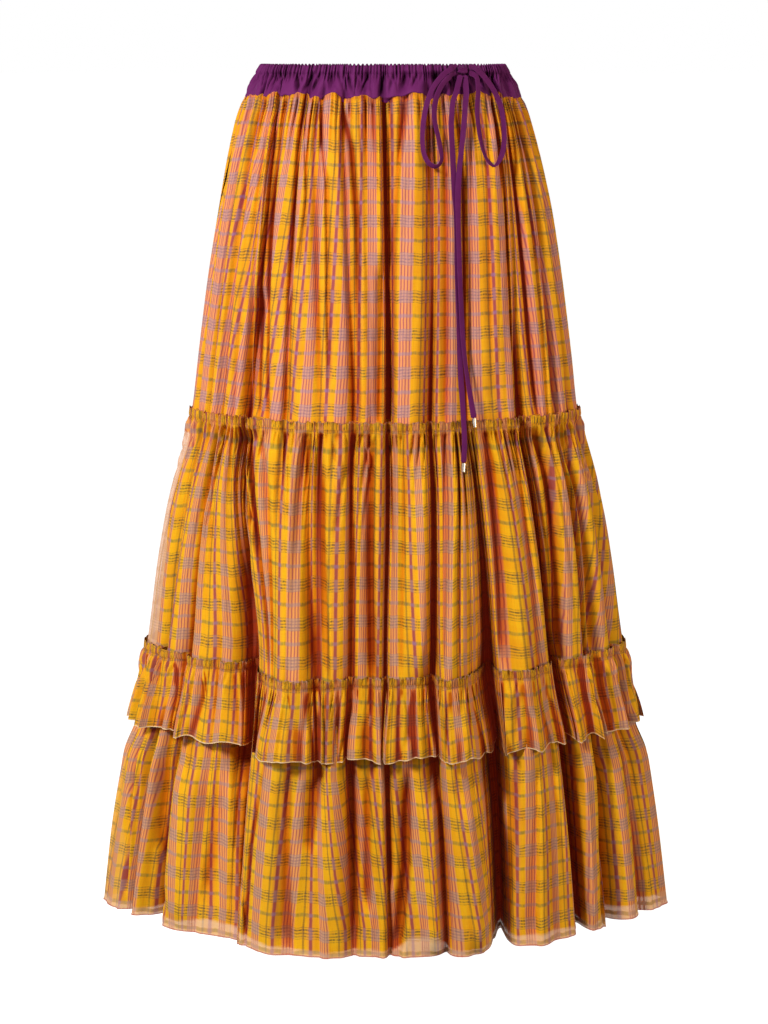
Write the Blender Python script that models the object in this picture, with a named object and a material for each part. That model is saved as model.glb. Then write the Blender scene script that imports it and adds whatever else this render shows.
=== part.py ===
"""A tiered ruffle skirt, hollow as it is when worn.

A gathered waistband with a drawstring bow, three gathered tiers, a short ruffle laid over the lower seam and
a lining. Metres, +Z up. The origin is the centre of the waist's top edge, the front faces -Y, and the skirt
hangs below it. Every piece of cloth is a wall between an outer and an inner skin of the same folded surface.

A place on the cloth is (column, height). A column is a thread that runs down the skirt, named by its angle in
degrees at the upper seam, 0 at the front and 90 at +X. The folds lie on fixed columns, and the columns turn a
little on the way down, so the folds do too.
"""

import math

import bmesh
import bpy
import numpy as np
from mathutils import Vector

# Cloth and seams
WALL = 0.0018
GAP = 0.0003
LAYER = WALL + GAP
LAP = LAYER + 0.0005  # from a piece's outer skin to that of the piece lapped over it
SIDE_SEAM = 0.1  # degrees from the side to a panel's edge
FULL_TURN = 360.0

# Heights of the seams and edges
WAIST_TOP = 0.0
WAIST_SEAM = -0.0306
UPPER_SEAM = -0.360
LOWER_SEAM = -0.603
RUFFLE_HEM = -0.676
LINING_TOP = -0.351
LINING_HEM = -0.860
HEM = -0.874
HEADING = 0.009  # cloth that stands above a gathered seam

# The crest of the cloth, as rings one below another: height, half width, depth to the front, depth to the
# back, and side pinch, which draws the quarters in to a lens shape.
SECTIONS = np.array(
    [
        (0.000, 0.1340, 0.100, 0.098, 0.00),
        (-0.031, 0.1446, 0.107, 0.105, 0.03),
        (-0.062, 0.1550, 0.116, 0.113, 0.05),
        (-0.109, 0.1654, 0.127, 0.123, 0.08),
        (-0.204, 0.1810, 0.143, 0.138, 0.15),
        (-0.298, 0.1934, 0.156, 0.150, 0.22),
        (-0.358, 0.2007, 0.165, 0.158, 0.26),
        (-0.390, 0.2110, 0.177, 0.169, 0.28),
        (-0.429, 0.2215, 0.190, 0.181, 0.30),
        (-0.504, 0.2360, 0.211, 0.201, 0.34),
        (-0.598, 0.2490, 0.236, 0.222, 0.38),
        (-0.685, 0.2660, 0.238, 0.226, 0.40),
        (-0.782, 0.2810, 0.242, 0.230, 0.40),
        (-0.874, 0.2920, 0.245, 0.233, 0.40),
    ]
)
SECTION_HEIGHTS = SECTIONS[:, 0]
HALF_WIDTHS = SECTIONS[:, 1]

# The main folds, a row each from the left side round the front to the back.
# Four angles, in degrees: at the waist, the upper seam, the lower seam and the hem.
# Seven depths, in metres, at FOLD_LEVELS: how far the fold goes in. Below 0 it is a ridge that stands out.
# Four half widths, in degrees: to its left at the top and the hem, and to its right at the top and the hem.
ANGLE_LEVELS = np.array([WAIST_SEAM, UPPER_SEAM, LOWER_SEAM, HEM])
FOLD_LEVELS = np.array([WAIST_SEAM, -0.200, UPPER_SEAM, -0.480, LOWER_SEAM, -0.730, HEM])
WIDTH_LEVELS = np.array([WAIST_SEAM, HEM])
FOLDS = np.array(
    [
        (-80, -78, -77, -76, 0.001, 0.002, 0.003, 0.004, 0.006, 0.006, 0.006, 3.0, 3.0, 3.0, 4.0),
        (-68, -66, -68, -70, 0.002, 0.004, 0.006, 0.012, 0.024, 0.036, 0.044, 4.0, 6.0, 1.8, 1.2),
        (-60, -57, -55, -55, 0.002, 0.004, 0.008, 0.010, 0.020, 0.038, 0.052, 2.5, 5.0, 1.6, 1.0),
        (-54, -51, -43, -42, 0.002, 0.003, 0.003, 0.006, 0.010, 0.010, 0.010, 2.0, 2.5, 1.6, 1.6),
        (-49, -45, -31, -31, 0.004, 0.008, 0.028, 0.040, 0.070, 0.075, 0.060, 3.0, 4.0, 1.8, 1.6),
        (-33, -30, -26, -25, 0.005, 0.012, 0.012, 0.005, 0.004, 0.002, 0.002, 2.0, 2.0, 2.0, 2.0),
        (-29, -25, -22, -21, 0.000, 0.000, -0.010, -0.028, -0.050, -0.040, -0.020, 9.0, 12.0, 9.0, 12.0),
        (-25, -19, -15, -13, 0.005, 0.006, 0.004, 0.014, 0.026, 0.018, 0.010, 3.0, 4.0, 2.0, 2.2),
        (-16, -9, -8, -6, 0.006, 0.008, 0.012, 0.008, 0.012, 0.022, 0.014, 1.8, 2.0, 2.0, 3.0),
        (-8, -4, -3, -2, 0.003, 0.004, 0.004, 0.004, 0.006, 0.004, 0.003, 1.6, 1.6, 1.6, 1.6),
        (-1, 1, 0, 1, 0.008, 0.014, 0.024, 0.020, 0.022, 0.014, 0.010, 1.8, 1.6, 1.6, 1.4),
        (18, 13, 11, 12, 0.006, 0.012, 0.024, 0.020, 0.028, 0.022, 0.020, 1.9, 3.0, 1.9, 1.4),
        (24, 19, 15, 17, 0.000, 0.000, 0.000, -0.010, -0.022, -0.018, -0.014, 3.0, 4.0, 3.0, 4.0),
        (30, 24, 25, 24, 0.006, 0.012, 0.012, 0.034, 0.080, 0.090, 0.080, 2.0, 3.2, 2.0, 1.8),
        (40, 33, 34, 33, 0.003, 0.004, 0.000, -0.008, -0.018, -0.016, -0.012, 3.0, 4.0, 3.0, 4.0),
        (52, 43, 44, 44, 0.005, 0.008, 0.024, 0.040, 0.060, 0.050, 0.036, 2.0, 1.6, 3.0, 4.0),
        (62, 61, 56, 52, 0.003, 0.004, 0.012, 0.020, 0.036, 0.040, 0.044, 1.8, 1.6, 3.0, 4.5),
        (75, 74, 73, 70, 0.001, 0.003, 0.006, 0.010, 0.012, 0.012, 0.014, 2.5, 2.5, 3.0, 4.0),
        (104, 106, 108, 111, 0.002, 0.004, 0.008, 0.014, 0.020, 0.024, 0.022, 3.0, 4.5, 2.4, 2.4),
        (121, 123, 127, 130, 0.004, 0.006, 0.014, 0.022, 0.040, 0.050, 0.046, 2.6, 5.0, 2.6, 2.4),
        (137, 139, 142, 143, 0.003, 0.006, 0.012, 0.012, 0.014, 0.016, 0.014, 2.4, 3.0, 2.4, 3.0),
        (152, 155, 156, 158, 0.005, 0.010, 0.020, 0.024, 0.048, 0.060, 0.054, 2.6, 3.0, 2.6, 4.0),
        (168, 169, 171, 170, 0.003, 0.006, 0.008, 0.008, 0.010, 0.012, 0.010, 2.2, 2.4, 2.2, 2.4),
        (183, 182, 181, 183, 0.006, 0.012, 0.022, 0.020, 0.026, 0.030, 0.026, 2.4, 3.0, 2.4, 3.0),
        (199, 197, 195, 196, 0.003, 0.004, 0.010, 0.010, 0.016, 0.022, 0.018, 2.4, 3.4, 2.4, 3.0),
        (213, 210, 207, 208, 0.005, 0.008, 0.018, 0.028, 0.052, 0.062, 0.058, 2.6, 4.0, 2.6, 3.0),
        (231, 228, 223, 222, 0.003, 0.005, 0.010, 0.012, 0.014, 0.018, 0.016, 2.4, 3.0, 2.4, 3.0),
        (246, 244, 240, 237, 0.004, 0.006, 0.012, 0.020, 0.036, 0.046, 0.048, 2.6, 2.6, 2.6, 5.0),
        (262, 261, 258, 254, 0.001, 0.003, 0.006, 0.010, 0.014, 0.018, 0.020, 3.0, 3.0, 3.0, 4.0),
    ]
)
FOLD_ANGLES = FOLDS[:, 0:4]
FOLD_COLUMNS = FOLD_ANGLES[:, 1]
FOLD_DEPTHS = FOLDS[:, 4:11]
DEPTHS_AT_LOWER_SEAM = FOLD_DEPTHS[:, 4]
FOLD_LEFT = FOLDS[:, 11:13]
FOLD_RIGHT = FOLDS[:, 13:15]
STRAIGHT_POWER = 4  # the folds go straight back until near the sides: see crest_ring

# Columns of the walls: four to a gather, and closer together where a fold is deep.
FRONT = (-90.0, 90.0)
BACK = (90.0, 270.0)
FRONT_GATHERS = 16
BACK_GATHERS = 10
COLUMNS_A_GATHER = 4
CROWDING = 60.0  # extra columns for each metre that a fold is deep
CROWDING_WIDTH = 3.2  # degrees
FINE_COLUMNS = 2001

# Gathers under a seam: depth of the dips, the drops at which they begin and are full, and how far they fade
WAIST_GATHER = (0.0055, 0.0, 0.015, 0.13)
UPPER_GATHER = (0.0060, 0.0, 0.018, 0.11)
LOWER_GATHER = (0.0050, 0.02, 0.06, 0.17)
# Unevenness of the gathers: share of their depth, waves to a turn in radians, and shift
UNEVEN = ((0.30, 5.0, 0.7), (0.25, 11.0, 2.1))

# Waistband: rows of height, depth of the fine gathers, and share of the main folds
WAISTBAND_ROWS = np.array(
    [
        (WAIST_TOP, 0.0010, 0.0),
        (-0.009, 0.0016, 0.0),
        (-0.020, 0.0012, 0.5),
        (WAIST_SEAM, 0.0, 1.0),
    ]
)
WAISTBAND_COLUMNS = 72

# Rows of each other piece, from its top edge to its hem
TIER_1_ROWS = np.array([WAIST_SEAM - GAP, -0.046, -0.080, -0.150, -0.250, UPPER_SEAM + HEADING, UPPER_SEAM])
TIER_2_ROWS = np.array([UPPER_SEAM + HEADING, UPPER_SEAM, -0.378, -0.480, LOWER_SEAM + HEADING, LOWER_SEAM])
RUFFLE_ROWS = np.array([LOWER_SEAM + HEADING, LOWER_SEAM, -0.630, RUFFLE_HEM])
TIER_3_ROWS = np.array([LOWER_SEAM - GAP, -0.630, RUFFLE_HEM, -0.735, -0.800, HEM])
LINING_ROWS = np.array([LINING_TOP, -0.378, -0.480, LOWER_SEAM, RUFFLE_HEM, -0.735, LINING_HEM])

# Headings and the ruffle
HEADING_FLARE = 0.0055
HEADING_WAVE = 0.0028
UPPER_LAP_END = -0.378
RUFFLE_FLARE = 0.0095
RUFFLE_WAVE = 0.0080
BEHIND_RUFFLE = (0.0030, 0.04, 0.08, 0.12)  # how far tier 3 is drawn in, the drop where it is, and its ends

# Lining
LINING_INSET = 0.0130
LINING_INSET_FROM = -0.372
SHEER_INSET = 0.010  # more, behind the sheer left side of tier 2
SHEER_MIDDLE = (-90.0, -0.52)  # column and height
SHEER_REACH = (22.0, 0.12)

# Drawstring
CORD_RADIUS = 0.0025
CORD_STEP = 0.012
CORD_STRAIGHT = 0.004  # straight stretch at each end
CORD_BEVEL = 2
KNOT_AT = (0.0755, -0.0065)  # x and height of its middle
KNOT_HALF = (0.0060, 0.0040, 0.0065)
KNOT_ROUND = 0.0018
KNOT_OFF = 0.0009  # from the crest of the waistband
KNOT_GAP = 0.0009
LOOP_ABOVE = 0.0031  # where a loop leaves the knot, from its middle
LOOP_BELOW = 0.0034  # where a loop comes back to it
TAIL_ASIDE = 0.0031  # where a tail leaves it
AGLET_RADIUS = 0.0019
AGLET_TIP_RADIUS = 0.0015
AGLET_LENGTH = 0.0085
AGLET_SIDES = 10

# Routes of the drawstring: x, height and distance off the crest of the cloth, in metres.
LEFT_LOOP = (
    (0.0640, -0.0035, 0.0070),
    (0.0558, -0.0095, 0.0070),
    (0.0466, -0.0219, 0.0060),
    (0.0406, -0.0377, 0.0052),
    (0.0368, -0.0595, 0.0046),
    (0.0368, -0.0822, 0.0044),
    (0.0416, -0.0955, 0.0044),
    (0.0497, -0.1000, 0.0050),
    (0.0545, -0.0925, 0.0056),
    (0.0520, -0.0743, 0.0056),
    (0.0475, -0.0525, 0.0056),
    (0.0490, -0.0347, 0.0056),
    (0.0545, -0.0205, 0.0060),
    (0.0620, -0.0118, 0.0064),
)
RIGHT_LOOP = (
    (0.0870, -0.0035, 0.0070),
    (0.0963, -0.0130, 0.0070),
    (0.1065, -0.0277, 0.0060),
    (0.1135, -0.0445, 0.0052),
    (0.1166, -0.0692, 0.0046),
    (0.1145, -0.0889, 0.0044),
    (0.1065, -0.0988, 0.0044),
    (0.0984, -0.0920, 0.0048),
    (0.0925, -0.0722, 0.0052),
    (0.0893, -0.0465, 0.0056),
    (0.0900, -0.0260, 0.0060),
    (0.0885, -0.0130, 0.0064),
)
LEFT_TAIL = (
    (0.0688, -0.0260, 0.0060),
    (0.0655, -0.0380, 0.0054),
    (0.0645, -0.0605, 0.0044),
    (0.0660, -0.0920, 0.0040),
    (0.0675, -0.1240, 0.0038),
    (0.0685, -0.1513, 0.0038),
    (0.0705, -0.2268, 0.0038),
    (0.0722, -0.3000, 0.0060),
    (0.0727, -0.3386, 0.0110),
    (0.0735, -0.3700, 0.0120),
    (0.0745, -0.3910, 0.0080),
)
RIGHT_TAIL = (
    (0.0786, -0.0270, 0.0060),
    (0.0783, -0.0385, 0.0054),
    (0.0770, -0.0710, 0.0044),
    (0.0762, -0.0900, 0.0040),
    (0.0765, -0.1330, 0.0038),
    (0.0790, -0.1920, 0.0038),
    (0.0808, -0.2830, 0.0050),
    (0.0822, -0.3300, 0.0100),
    (0.0826, -0.3480, 0.0125),
)

# Colours
CLOTH = (0.83, 0.42, 0.05, 1.0)
RUFFLE_CLOTH = (0.80, 0.36, 0.06, 1.0)
LINING_CLOTH = (0.85, 0.40, 0.02, 1.0)
PLAIN_CLOTH = (0.10, 0.015, 0.09, 1.0)
METAL = (0.80, 0.72, 0.60, 1.0)


def clear_scene():
    """Removes every object that the scene starts with."""
    for old in list(bpy.data.objects):
        bpy.data.objects.remove(old, do_unlink=True)


def principled(name, colour, roughness, metallic):
    """A plain material of one colour."""
    made = bpy.data.materials.new(name)
    made.use_nodes = True
    shader = made.node_tree.nodes["Principled BSDF"]
    shader.inputs["Base Color"].default_value = colour
    shader.inputs["Roughness"].default_value = roughness
    shader.inputs["Metallic"].default_value = metallic
    made.diffuse_color = colour
    return made


def placed(name, data, material):
    """A new object of this mesh or curve, in its one material."""
    data.materials.append(material)
    made = bpy.data.objects.new(name, data)
    bpy.context.collection.objects.link(made)
    return made


def between_levels(levels, rows, heights):
    """Values given in rows at the levels, read off in a straight line at each height: (heights, rows)."""
    return np.stack([np.interp(-heights, -levels, row) for row in rows], axis=1)


def degrees_from_folds(columns):
    """How far each column is from each fold, the short way round: (columns, folds)."""
    half_turn = FULL_TURN / 2
    return (columns[:, None] - FOLD_COLUMNS + half_turn) % FULL_TURN - half_turn


def column_steps(span, gathers):
    """Columns from one side seam to the other. Each takes the same share of a density that is 1 on flat
    cloth and rises as a bell over each fold with the depth that it has at the lower seam."""
    fine = np.linspace(span[0], span[1], FINE_COLUMNS)
    bells = np.exp(-((degrees_from_folds(fine) / CROWDING_WIDTH) ** 2))
    density = 1 + CROWDING * (np.abs(DEPTHS_AT_LOWER_SEAM) * bells).sum(axis=1)
    share = np.concatenate([[0.0], np.cumsum((density[1:] + density[:-1]) / 2)])
    wanted = np.linspace(0.0, share[-1], gathers * COLUMNS_A_GATHER + 1)
    columns = np.interp(wanted, share, fine)
    columns[0] += SIDE_SEAM
    columns[-1] -= SIDE_SEAM
    return columns


def turned(columns, heights):
    """The angle of each column at each height, in radians: every fold keeps its own angles, and the threads
    between two folds share out the difference."""
    drifts = [
        np.interp(columns, FOLD_COLUMNS, angles - FOLD_COLUMNS, period=FULL_TURN) for angles in FOLD_ANGLES.T
    ]
    return np.radians(columns + between_levels(ANGLE_LEVELS, np.array(drifts).T, heights))


def fold_depth(columns, heights):
    """How far the main folds take the cloth in from its crest: a sum of bells with two unequal sides."""
    away = degrees_from_folds(columns)
    deep = between_levels(FOLD_LEVELS, FOLD_DEPTHS, heights)[:, None, :]
    left = between_levels(WIDTH_LEVELS, FOLD_LEFT, heights)[:, None, :]
    right = between_levels(WIDTH_LEVELS, FOLD_RIGHT, heights)[:, None, :]
    return (deep * np.exp(-((away / np.where(away < 0, left, right)) ** 2))).sum(axis=2)


def ring_at(angle, heights):
    """Points of the crest in plan, and the direction in which it runs there. Each ring is an ellipse whose
    depth is drawn in towards the sides by side pinch times the sine squared."""
    half_width, front, back, pinch = between_levels(SECTION_HEIGHTS, SECTIONS[:, 1:].T, heights).T[:, :, None]
    sine, cosine = np.sin(angle), np.cos(angle)
    depth = np.where(cosine > 0, front, back)
    drawn = 1 - pinch * sine**2
    ring = np.stack([half_width * sine, -depth * cosine * drawn], axis=-1)
    run = np.stack([half_width * cosine, depth * sine * (drawn + 2 * pinch * cosine**2)], axis=-1)
    return ring, run / np.linalg.norm(run, axis=-1, keepdims=True)


def outward(run):
    """The direction in plan that is square to a run round the skirt."""
    return np.stack([run[..., 1], -run[..., 0]], axis=-1)


def crest_ring(columns, heights):
    """Points of the crest, and the direction in which folds stand out from it: its own outward one at the
    sides, and straight to the front or back elsewhere, shared out by a power of the sine of the angle."""
    angle = turned(columns, heights)
    ring, run = ring_at(angle, heights)
    straight = np.stack([np.zeros_like(angle), -np.sign(np.cos(angle))], axis=-1)
    share = np.sin(angle)[..., None] ** STRAIGHT_POWER
    out = share * outward(run) + (1 - share) * straight
    return ring, out / np.linalg.norm(out, axis=-1, keepdims=True)


def skin_of(columns, heights, offset):
    """The points of a skin: the crest moved out by offset."""
    ring, out = crest_ring(columns, heights)
    plan = ring + offset[..., None] * out
    level = np.broadcast_to(heights[:, None, None], plan.shape[:2] + (1,))
    return np.concatenate([plan, level], axis=-1)


def stretch(columns, heights, offset):
    """How much longer a wall measures along the direction of its folds than it is thick: the length of the
    skin's run over the part of it that lies across that direction."""
    ring, out = crest_ring(columns, heights)
    run = np.gradient(ring + offset[..., None] * out, axis=1)
    across = run[..., 0] * out[..., 1] - run[..., 1] * out[..., 0]
    return np.linalg.norm(run, axis=-1) / np.abs(across)


def smooth_rise(value, start, end):
    """0 before start and 1 after end, with a smooth step between them."""
    share = np.clip((value - start) / (end - start), 0, 1)
    return share * share * (3 - 2 * share)


def gather_wave(columns):
    """The gathers across a panel: 0 on a crest, 1 in the dip, four columns to each, with uneven depths."""
    angle = np.radians(columns)
    wave = 0.5 - 0.5 * np.cos(2 * np.pi * np.arange(len(columns)) / COLUMNS_A_GATHER)
    return wave * (1 + sum(share * np.sin(waves * angle + shift) for share, waves, shift in UNEVEN))


def gathers_below(seam, heights, gather):
    """Depth of the gathers at each height: they open below the seam and fade as a bell of the drop."""
    deepest, begin, full, fade = gather
    drop = seam - heights
    return deepest * smooth_rise(drop, begin, full) * np.exp(-((drop / fade) ** 2))


def cloth_wall(name, outer, inner, closed, material):
    """One closed solid between an outer and an inner grid of points, rows from the top down. Closed runs
    right round; open ends in an edge at each side."""
    rows, count = outer.shape[:2]
    points = np.concatenate([outer.reshape(-1, 3), inner.reshape(-1, 3)])
    skin = np.arange(rows * count).reshape(rows, count)
    if closed:
        skin = np.concatenate([skin, skin[:, :1]], axis=1)
    back = skin + rows * count

    def halves(a, b, c, d):
        """Two triangles for each four-sided face, split from a to c, the same way on every skin."""
        a, b, c, d = a.ravel(), b.ravel(), c.ravel(), d.ravel()
        return np.concatenate([np.stack([a, b, c], axis=1), np.stack([a, c, d], axis=1)])

    faces = [
        halves(skin[:-1, :-1], skin[1:, :-1], skin[1:, 1:], skin[:-1, 1:]),
        halves(back[:-1, :-1], back[:-1, 1:], back[1:, 1:], back[1:, :-1]),
        halves(skin[:1, :-1], skin[:1, 1:], back[:1, 1:], back[:1, :-1]),
        halves(skin[-1:, 1:], skin[-1:, :-1], back[-1:, :-1], back[-1:, 1:]),
    ]
    if not closed:
        faces.append(halves(skin[1:, :1], skin[:-1, :1], back[:-1, :1], back[1:, :1]))
        faces.append(halves(skin[:-1, -1:], skin[1:, -1:], back[1:, -1:], back[:-1, -1:]))
    mesh = bpy.data.meshes.new(name)
    mesh.from_pydata(points.tolist(), [], np.concatenate(faces).tolist())
    mesh.validate()
    mesh.shade_smooth()
    return placed(name, mesh, material)


def wall_of(name, columns, heights, offset, closed, material):
    """A cloth wall whose outer skin lies at offset from the crest and whose inner skin is WALL behind it."""
    inner = offset - WALL * stretch(columns, heights, offset)
    outer_points = skin_of(columns, heights, offset)
    inner_points = skin_of(columns, heights, inner)
    return cloth_wall(name, outer_points, inner_points, closed, material)


def waistband(material):
    """The casing: one gathered loop. Every second column is a dip, and the main folds open below them."""
    columns = np.linspace(FRONT[0], BACK[1], WAISTBAND_COLUMNS, endpoint=False)
    heights, dips, folded = WAISTBAND_ROWS.T
    dip = np.arange(WAISTBAND_COLUMNS) % 2
    folds = fold_depth(columns, np.full(len(heights), WAIST_SEAM))
    offset = GAP - dips[:, None] * dip - folded[:, None] * folds
    return wall_of("waistband", columns, heights, offset, True, material)


def tier_1(columns):
    """From the waistband's seam to the upper seam, gathered at the top."""
    gather = gathers_below(WAIST_SEAM, TIER_1_ROWS, WAIST_GATHER)
    offset = -fold_depth(columns, TIER_1_ROWS) - gather[:, None] * gather_wave(columns)
    return TIER_1_ROWS, offset


def layer_off(thickness, columns, heights, folds):
    """How far a layer this thick takes the next one from the folds: as far at each column as the steepest of
    it and its two neighbours needs, so that the next layer keeps clear of a steep fold too."""
    reach = np.pad(stretch(columns, heights, folds), ((0, 0), (1, 1)), mode="edge")
    return thickness * np.maximum(np.maximum(reach[:, :-2], reach[:, 1:-1]), reach[:, 2:])


def tier_2(columns):
    """Laps over tier 1 with a standing heading, is drawn in at the upper seam and falls to the lower seam."""
    folds = -fold_depth(columns, TIER_2_ROWS)
    lap = layer_off(LAP, columns, TIER_2_ROWS, folds)
    above = smooth_rise(TIER_2_ROWS, UPPER_SEAM, UPPER_SEAM + HEADING)[:, None]
    gather = gathers_below(UPPER_SEAM, TIER_2_ROWS, UPPER_GATHER)[:, None]
    offset = folds + lap * smooth_rise(TIER_2_ROWS, UPPER_LAP_END, UPPER_SEAM)[:, None]
    offset += HEADING_FLARE * above - (HEADING_WAVE * above + gather) * gather_wave(columns)
    return TIER_2_ROWS, offset


def ruffle(columns):
    """A short ruffle laid over the lower seam: heading, drawn in at the seam, and flaring to its hem."""
    folds = -fold_depth(columns, RUFFLE_ROWS)
    lap = layer_off(LAP, columns, RUFFLE_ROWS, folds)
    above = smooth_rise(RUFFLE_ROWS, LOWER_SEAM, LOWER_SEAM + HEADING)[:, None]
    flare = smooth_rise(-RUFFLE_ROWS, -LOWER_SEAM, -RUFFLE_HEM)[:, None]
    wave = (HEADING_WAVE * above + RUFFLE_WAVE * flare) * gather_wave(columns)
    return RUFFLE_ROWS, folds + lap + HEADING_FLARE * above + RUFFLE_FLARE * flare - wave


def tier_3(columns):
    """Hangs from the lower seam behind the ruffle down to the hem."""
    inset, inset_full, out_from, out_at = BEHIND_RUFFLE
    drop = LOWER_SEAM - TIER_3_ROWS
    behind = inset * smooth_rise(drop, 0, inset_full) * (1 - smooth_rise(drop, out_from, out_at))
    gather = gathers_below(LOWER_SEAM, TIER_3_ROWS, LOWER_GATHER)[:, None]
    offset = -fold_depth(columns, TIER_3_ROWS) - behind[:, None] - gather * gather_wave(columns)
    return TIER_3_ROWS, offset


def lining(columns):
    """Hangs from inside the upper seam, a centimetre or so behind the tiers, and ends above their hem."""
    folds = -fold_depth(columns, LINING_ROWS)
    behind = layer_off(LAYER, columns, LINING_ROWS, folds)
    inset = LINING_INSET * smooth_rise(-LINING_ROWS, -LINING_TOP, -LINING_INSET_FROM)
    middle_column, middle_height = SHEER_MIDDLE
    column_reach, height_reach = SHEER_REACH
    aside = np.exp(-(((columns - middle_column) / column_reach) ** 2))
    along = np.exp(-(((LINING_ROWS - middle_height) / height_reach) ** 2))
    return LINING_ROWS, folds - behind - inset[:, None] - SHEER_INSET * along[:, None] * aside


def front_point(x, height, off):
    """The point on the front of the crest at this x and height, moved out by off, and the crest's run there.
    The angle comes from the half width, since x is half_width times its sine."""
    half_width = np.interp(-height, -SECTION_HEIGHTS, HALF_WIDTHS)
    angle = np.array([[math.asin(x / half_width)]])
    ring, run = ring_at(angle, np.array([height]))
    plan = (ring + off * outward(run))[0, 0]
    return np.array([*plan, height]), np.array([*run[0, 0], 0.0])


def smooth_route(points):
    """Evenly spaced points along a Catmull-Rom curve through the given ones, with a straight at each end."""
    points = np.asarray(points, float)
    padded = np.concatenate([2 * points[:1] - points[1:2], points, 2 * points[-1:] - points[-2:-1]])
    share = np.linspace(0, 1, 24, endpoint=False)[:, None]
    runs = []
    for i in range(1, len(padded) - 2):
        a, b, c, d = padded[i - 1 : i + 3]
        cubic = (3 * b - a - 3 * c + d) * share**3 + (2 * a - 5 * b + 4 * c - d) * share**2 + (c - a) * share
        runs.append(b + cubic / 2)
    fine = np.concatenate(runs + [points[-1:]])
    length = np.concatenate([[0], np.cumsum(np.linalg.norm(np.diff(fine, axis=0), axis=1))])
    between = np.linspace(CORD_STRAIGHT, length[-1] - CORD_STRAIGHT, round(length[-1] / CORD_STEP))
    wanted = np.concatenate([[0], between, length[-1:]])
    return np.stack([np.interp(wanted, length, fine[:, axis]) for axis in range(3)], axis=1)


def cord(name, points, material):
    """A round cord along the points, with flat ends."""
    curve = bpy.data.curves.new(name, "CURVE")
    curve.dimensions = "3D"
    curve.bevel_depth = CORD_RADIUS
    curve.bevel_resolution = CORD_BEVEL
    curve.use_fill_caps = True
    line = curve.splines.new("POLY")
    line.points.add(len(points) - 1)
    for spot, point in zip(line.points, points):
        spot.co = (*point, 1.0)
    return placed(name, curve, material)


def aglet(name, top, along, material):
    """A short metal tip in line with the end of its cord."""
    mesh = bpy.data.meshes.new(name)
    shape = bmesh.new()
    bmesh.ops.create_cone(
        shape,
        cap_ends=True,
        segments=AGLET_SIDES,
        radius1=AGLET_TIP_RADIUS,
        radius2=AGLET_RADIUS,
        depth=AGLET_LENGTH,
    )
    shape.to_mesh(mesh)
    shape.free()
    mesh.shade_smooth()
    made = placed(name, mesh, material)
    direction = along / np.linalg.norm(along)
    made.location = top + direction * (GAP + AGLET_LENGTH / 2)
    made.rotation_mode = "QUATERNION"
    made.rotation_quaternion = Vector(-direction).to_track_quat("Z", "Y")
    return made


def knot(centre, run, material):
    """The bow's knot: a block with rounded edges, turned to the run of the waistband."""
    mesh = bpy.data.meshes.new("bow_knot")
    shape = bmesh.new()
    bmesh.ops.create_cube(shape, size=2.0)
    bmesh.ops.scale(shape, vec=KNOT_HALF, verts=shape.verts[:])
    bmesh.ops.bevel(shape, geom=shape.edges[:], offset=KNOT_ROUND, segments=2, affect="EDGES", profile=0.5)
    shape.to_mesh(mesh)
    shape.free()
    mesh.shade_smooth()
    made = placed("bow_knot", mesh, material)
    made.location = centre
    made.rotation_euler.z = math.atan2(run[1], run[0])
    return made


def drawstring(ribbon, metal):
    """The bow: a knot on the waistband, a loop to each side, and two tails with metal tips."""
    half_x, half_y, half_z = KNOT_HALF
    centre, run = front_point(*KNOT_AT, KNOT_OFF + half_y)
    up = np.array([0.0, 0.0, 1.0])
    knot(centre, run, ribbon)

    leaving = centre + up * LOOP_ABOVE
    coming = centre - up * LOOP_BELOW
    for name, side, places in (("bow_loop_left", -run, LEFT_LOOP), ("bow_loop_right", run, RIGHT_LOOP)):
        reach = side * (half_x + KNOT_GAP)
        straight = side * CORD_STRAIGHT
        middle = [front_point(*place)[0] for place in places]
        start = [leaving + reach, leaving + reach + straight]
        end = [coming + reach + straight, coming + reach]
        cord(name, smooth_route(start + middle + end), ribbon)

    foot = centre - up * (half_z + KNOT_GAP)
    for side_name, side, places in (("left", -run, LEFT_TAIL), ("right", run, RIGHT_TAIL)):
        top = foot + side * TAIL_ASIDE
        middle = [front_point(*place)[0] for place in places]
        route = smooth_route([top, top - up * CORD_STRAIGHT] + middle)
        cord(f"bow_tail_{side_name}", route, ribbon)
        aglet(f"aglet_{side_name}", route[-1], route[-1] - route[-2], metal)


def main():
    clear_scene()
    cloth = principled("checked cloth", CLOTH, 0.75, 0.0)
    ruffle_cloth = principled("ruffle cloth", RUFFLE_CLOTH, 0.75, 0.0)
    lining_cloth = principled("lining cloth", LINING_CLOTH, 0.8, 0.0)
    plain = principled("plain cloth", PLAIN_CLOTH, 0.6, 0.0)
    metal = principled("metal tips", METAL, 0.3, 1.0)

    waistband(plain)
    sides = (("front", column_steps(FRONT, FRONT_GATHERS)), ("back", column_steps(BACK, BACK_GATHERS)))
    pieces = (
        ("tier_1", tier_1, cloth),
        ("tier_2", tier_2, cloth),
        ("ruffle", ruffle, ruffle_cloth),
        ("tier_3", tier_3, cloth),
    )
    for side, columns in sides:
        for name, shape_of, material in pieces:
            heights, offset = shape_of(columns)
            wall_of(f"{name}_{side}", columns, heights, offset, False, material)
    round_columns = np.concatenate([columns[:-1] for _, columns in sides])
    heights, offset = lining(round_columns)
    wall_of("lining", round_columns, heights, offset, True, lining_cloth)
    drawstring(plain, metal)


main()
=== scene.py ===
"""Dresses the tiered ruffle skirt: sewing, check, gathers, creases, sheer hems, ribbon bow and lining.

A place on the cloth is (column, height). A column is a thread that runs down the skirt, named by its angle in
degrees at the upper seam: 0 at the front, 90 at +X and 180 at the back. Heights are metres from the waist. An
array of heights has a row for each, so that it makes a grid with a flat array of columns, top row first.
"""

import math

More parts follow.
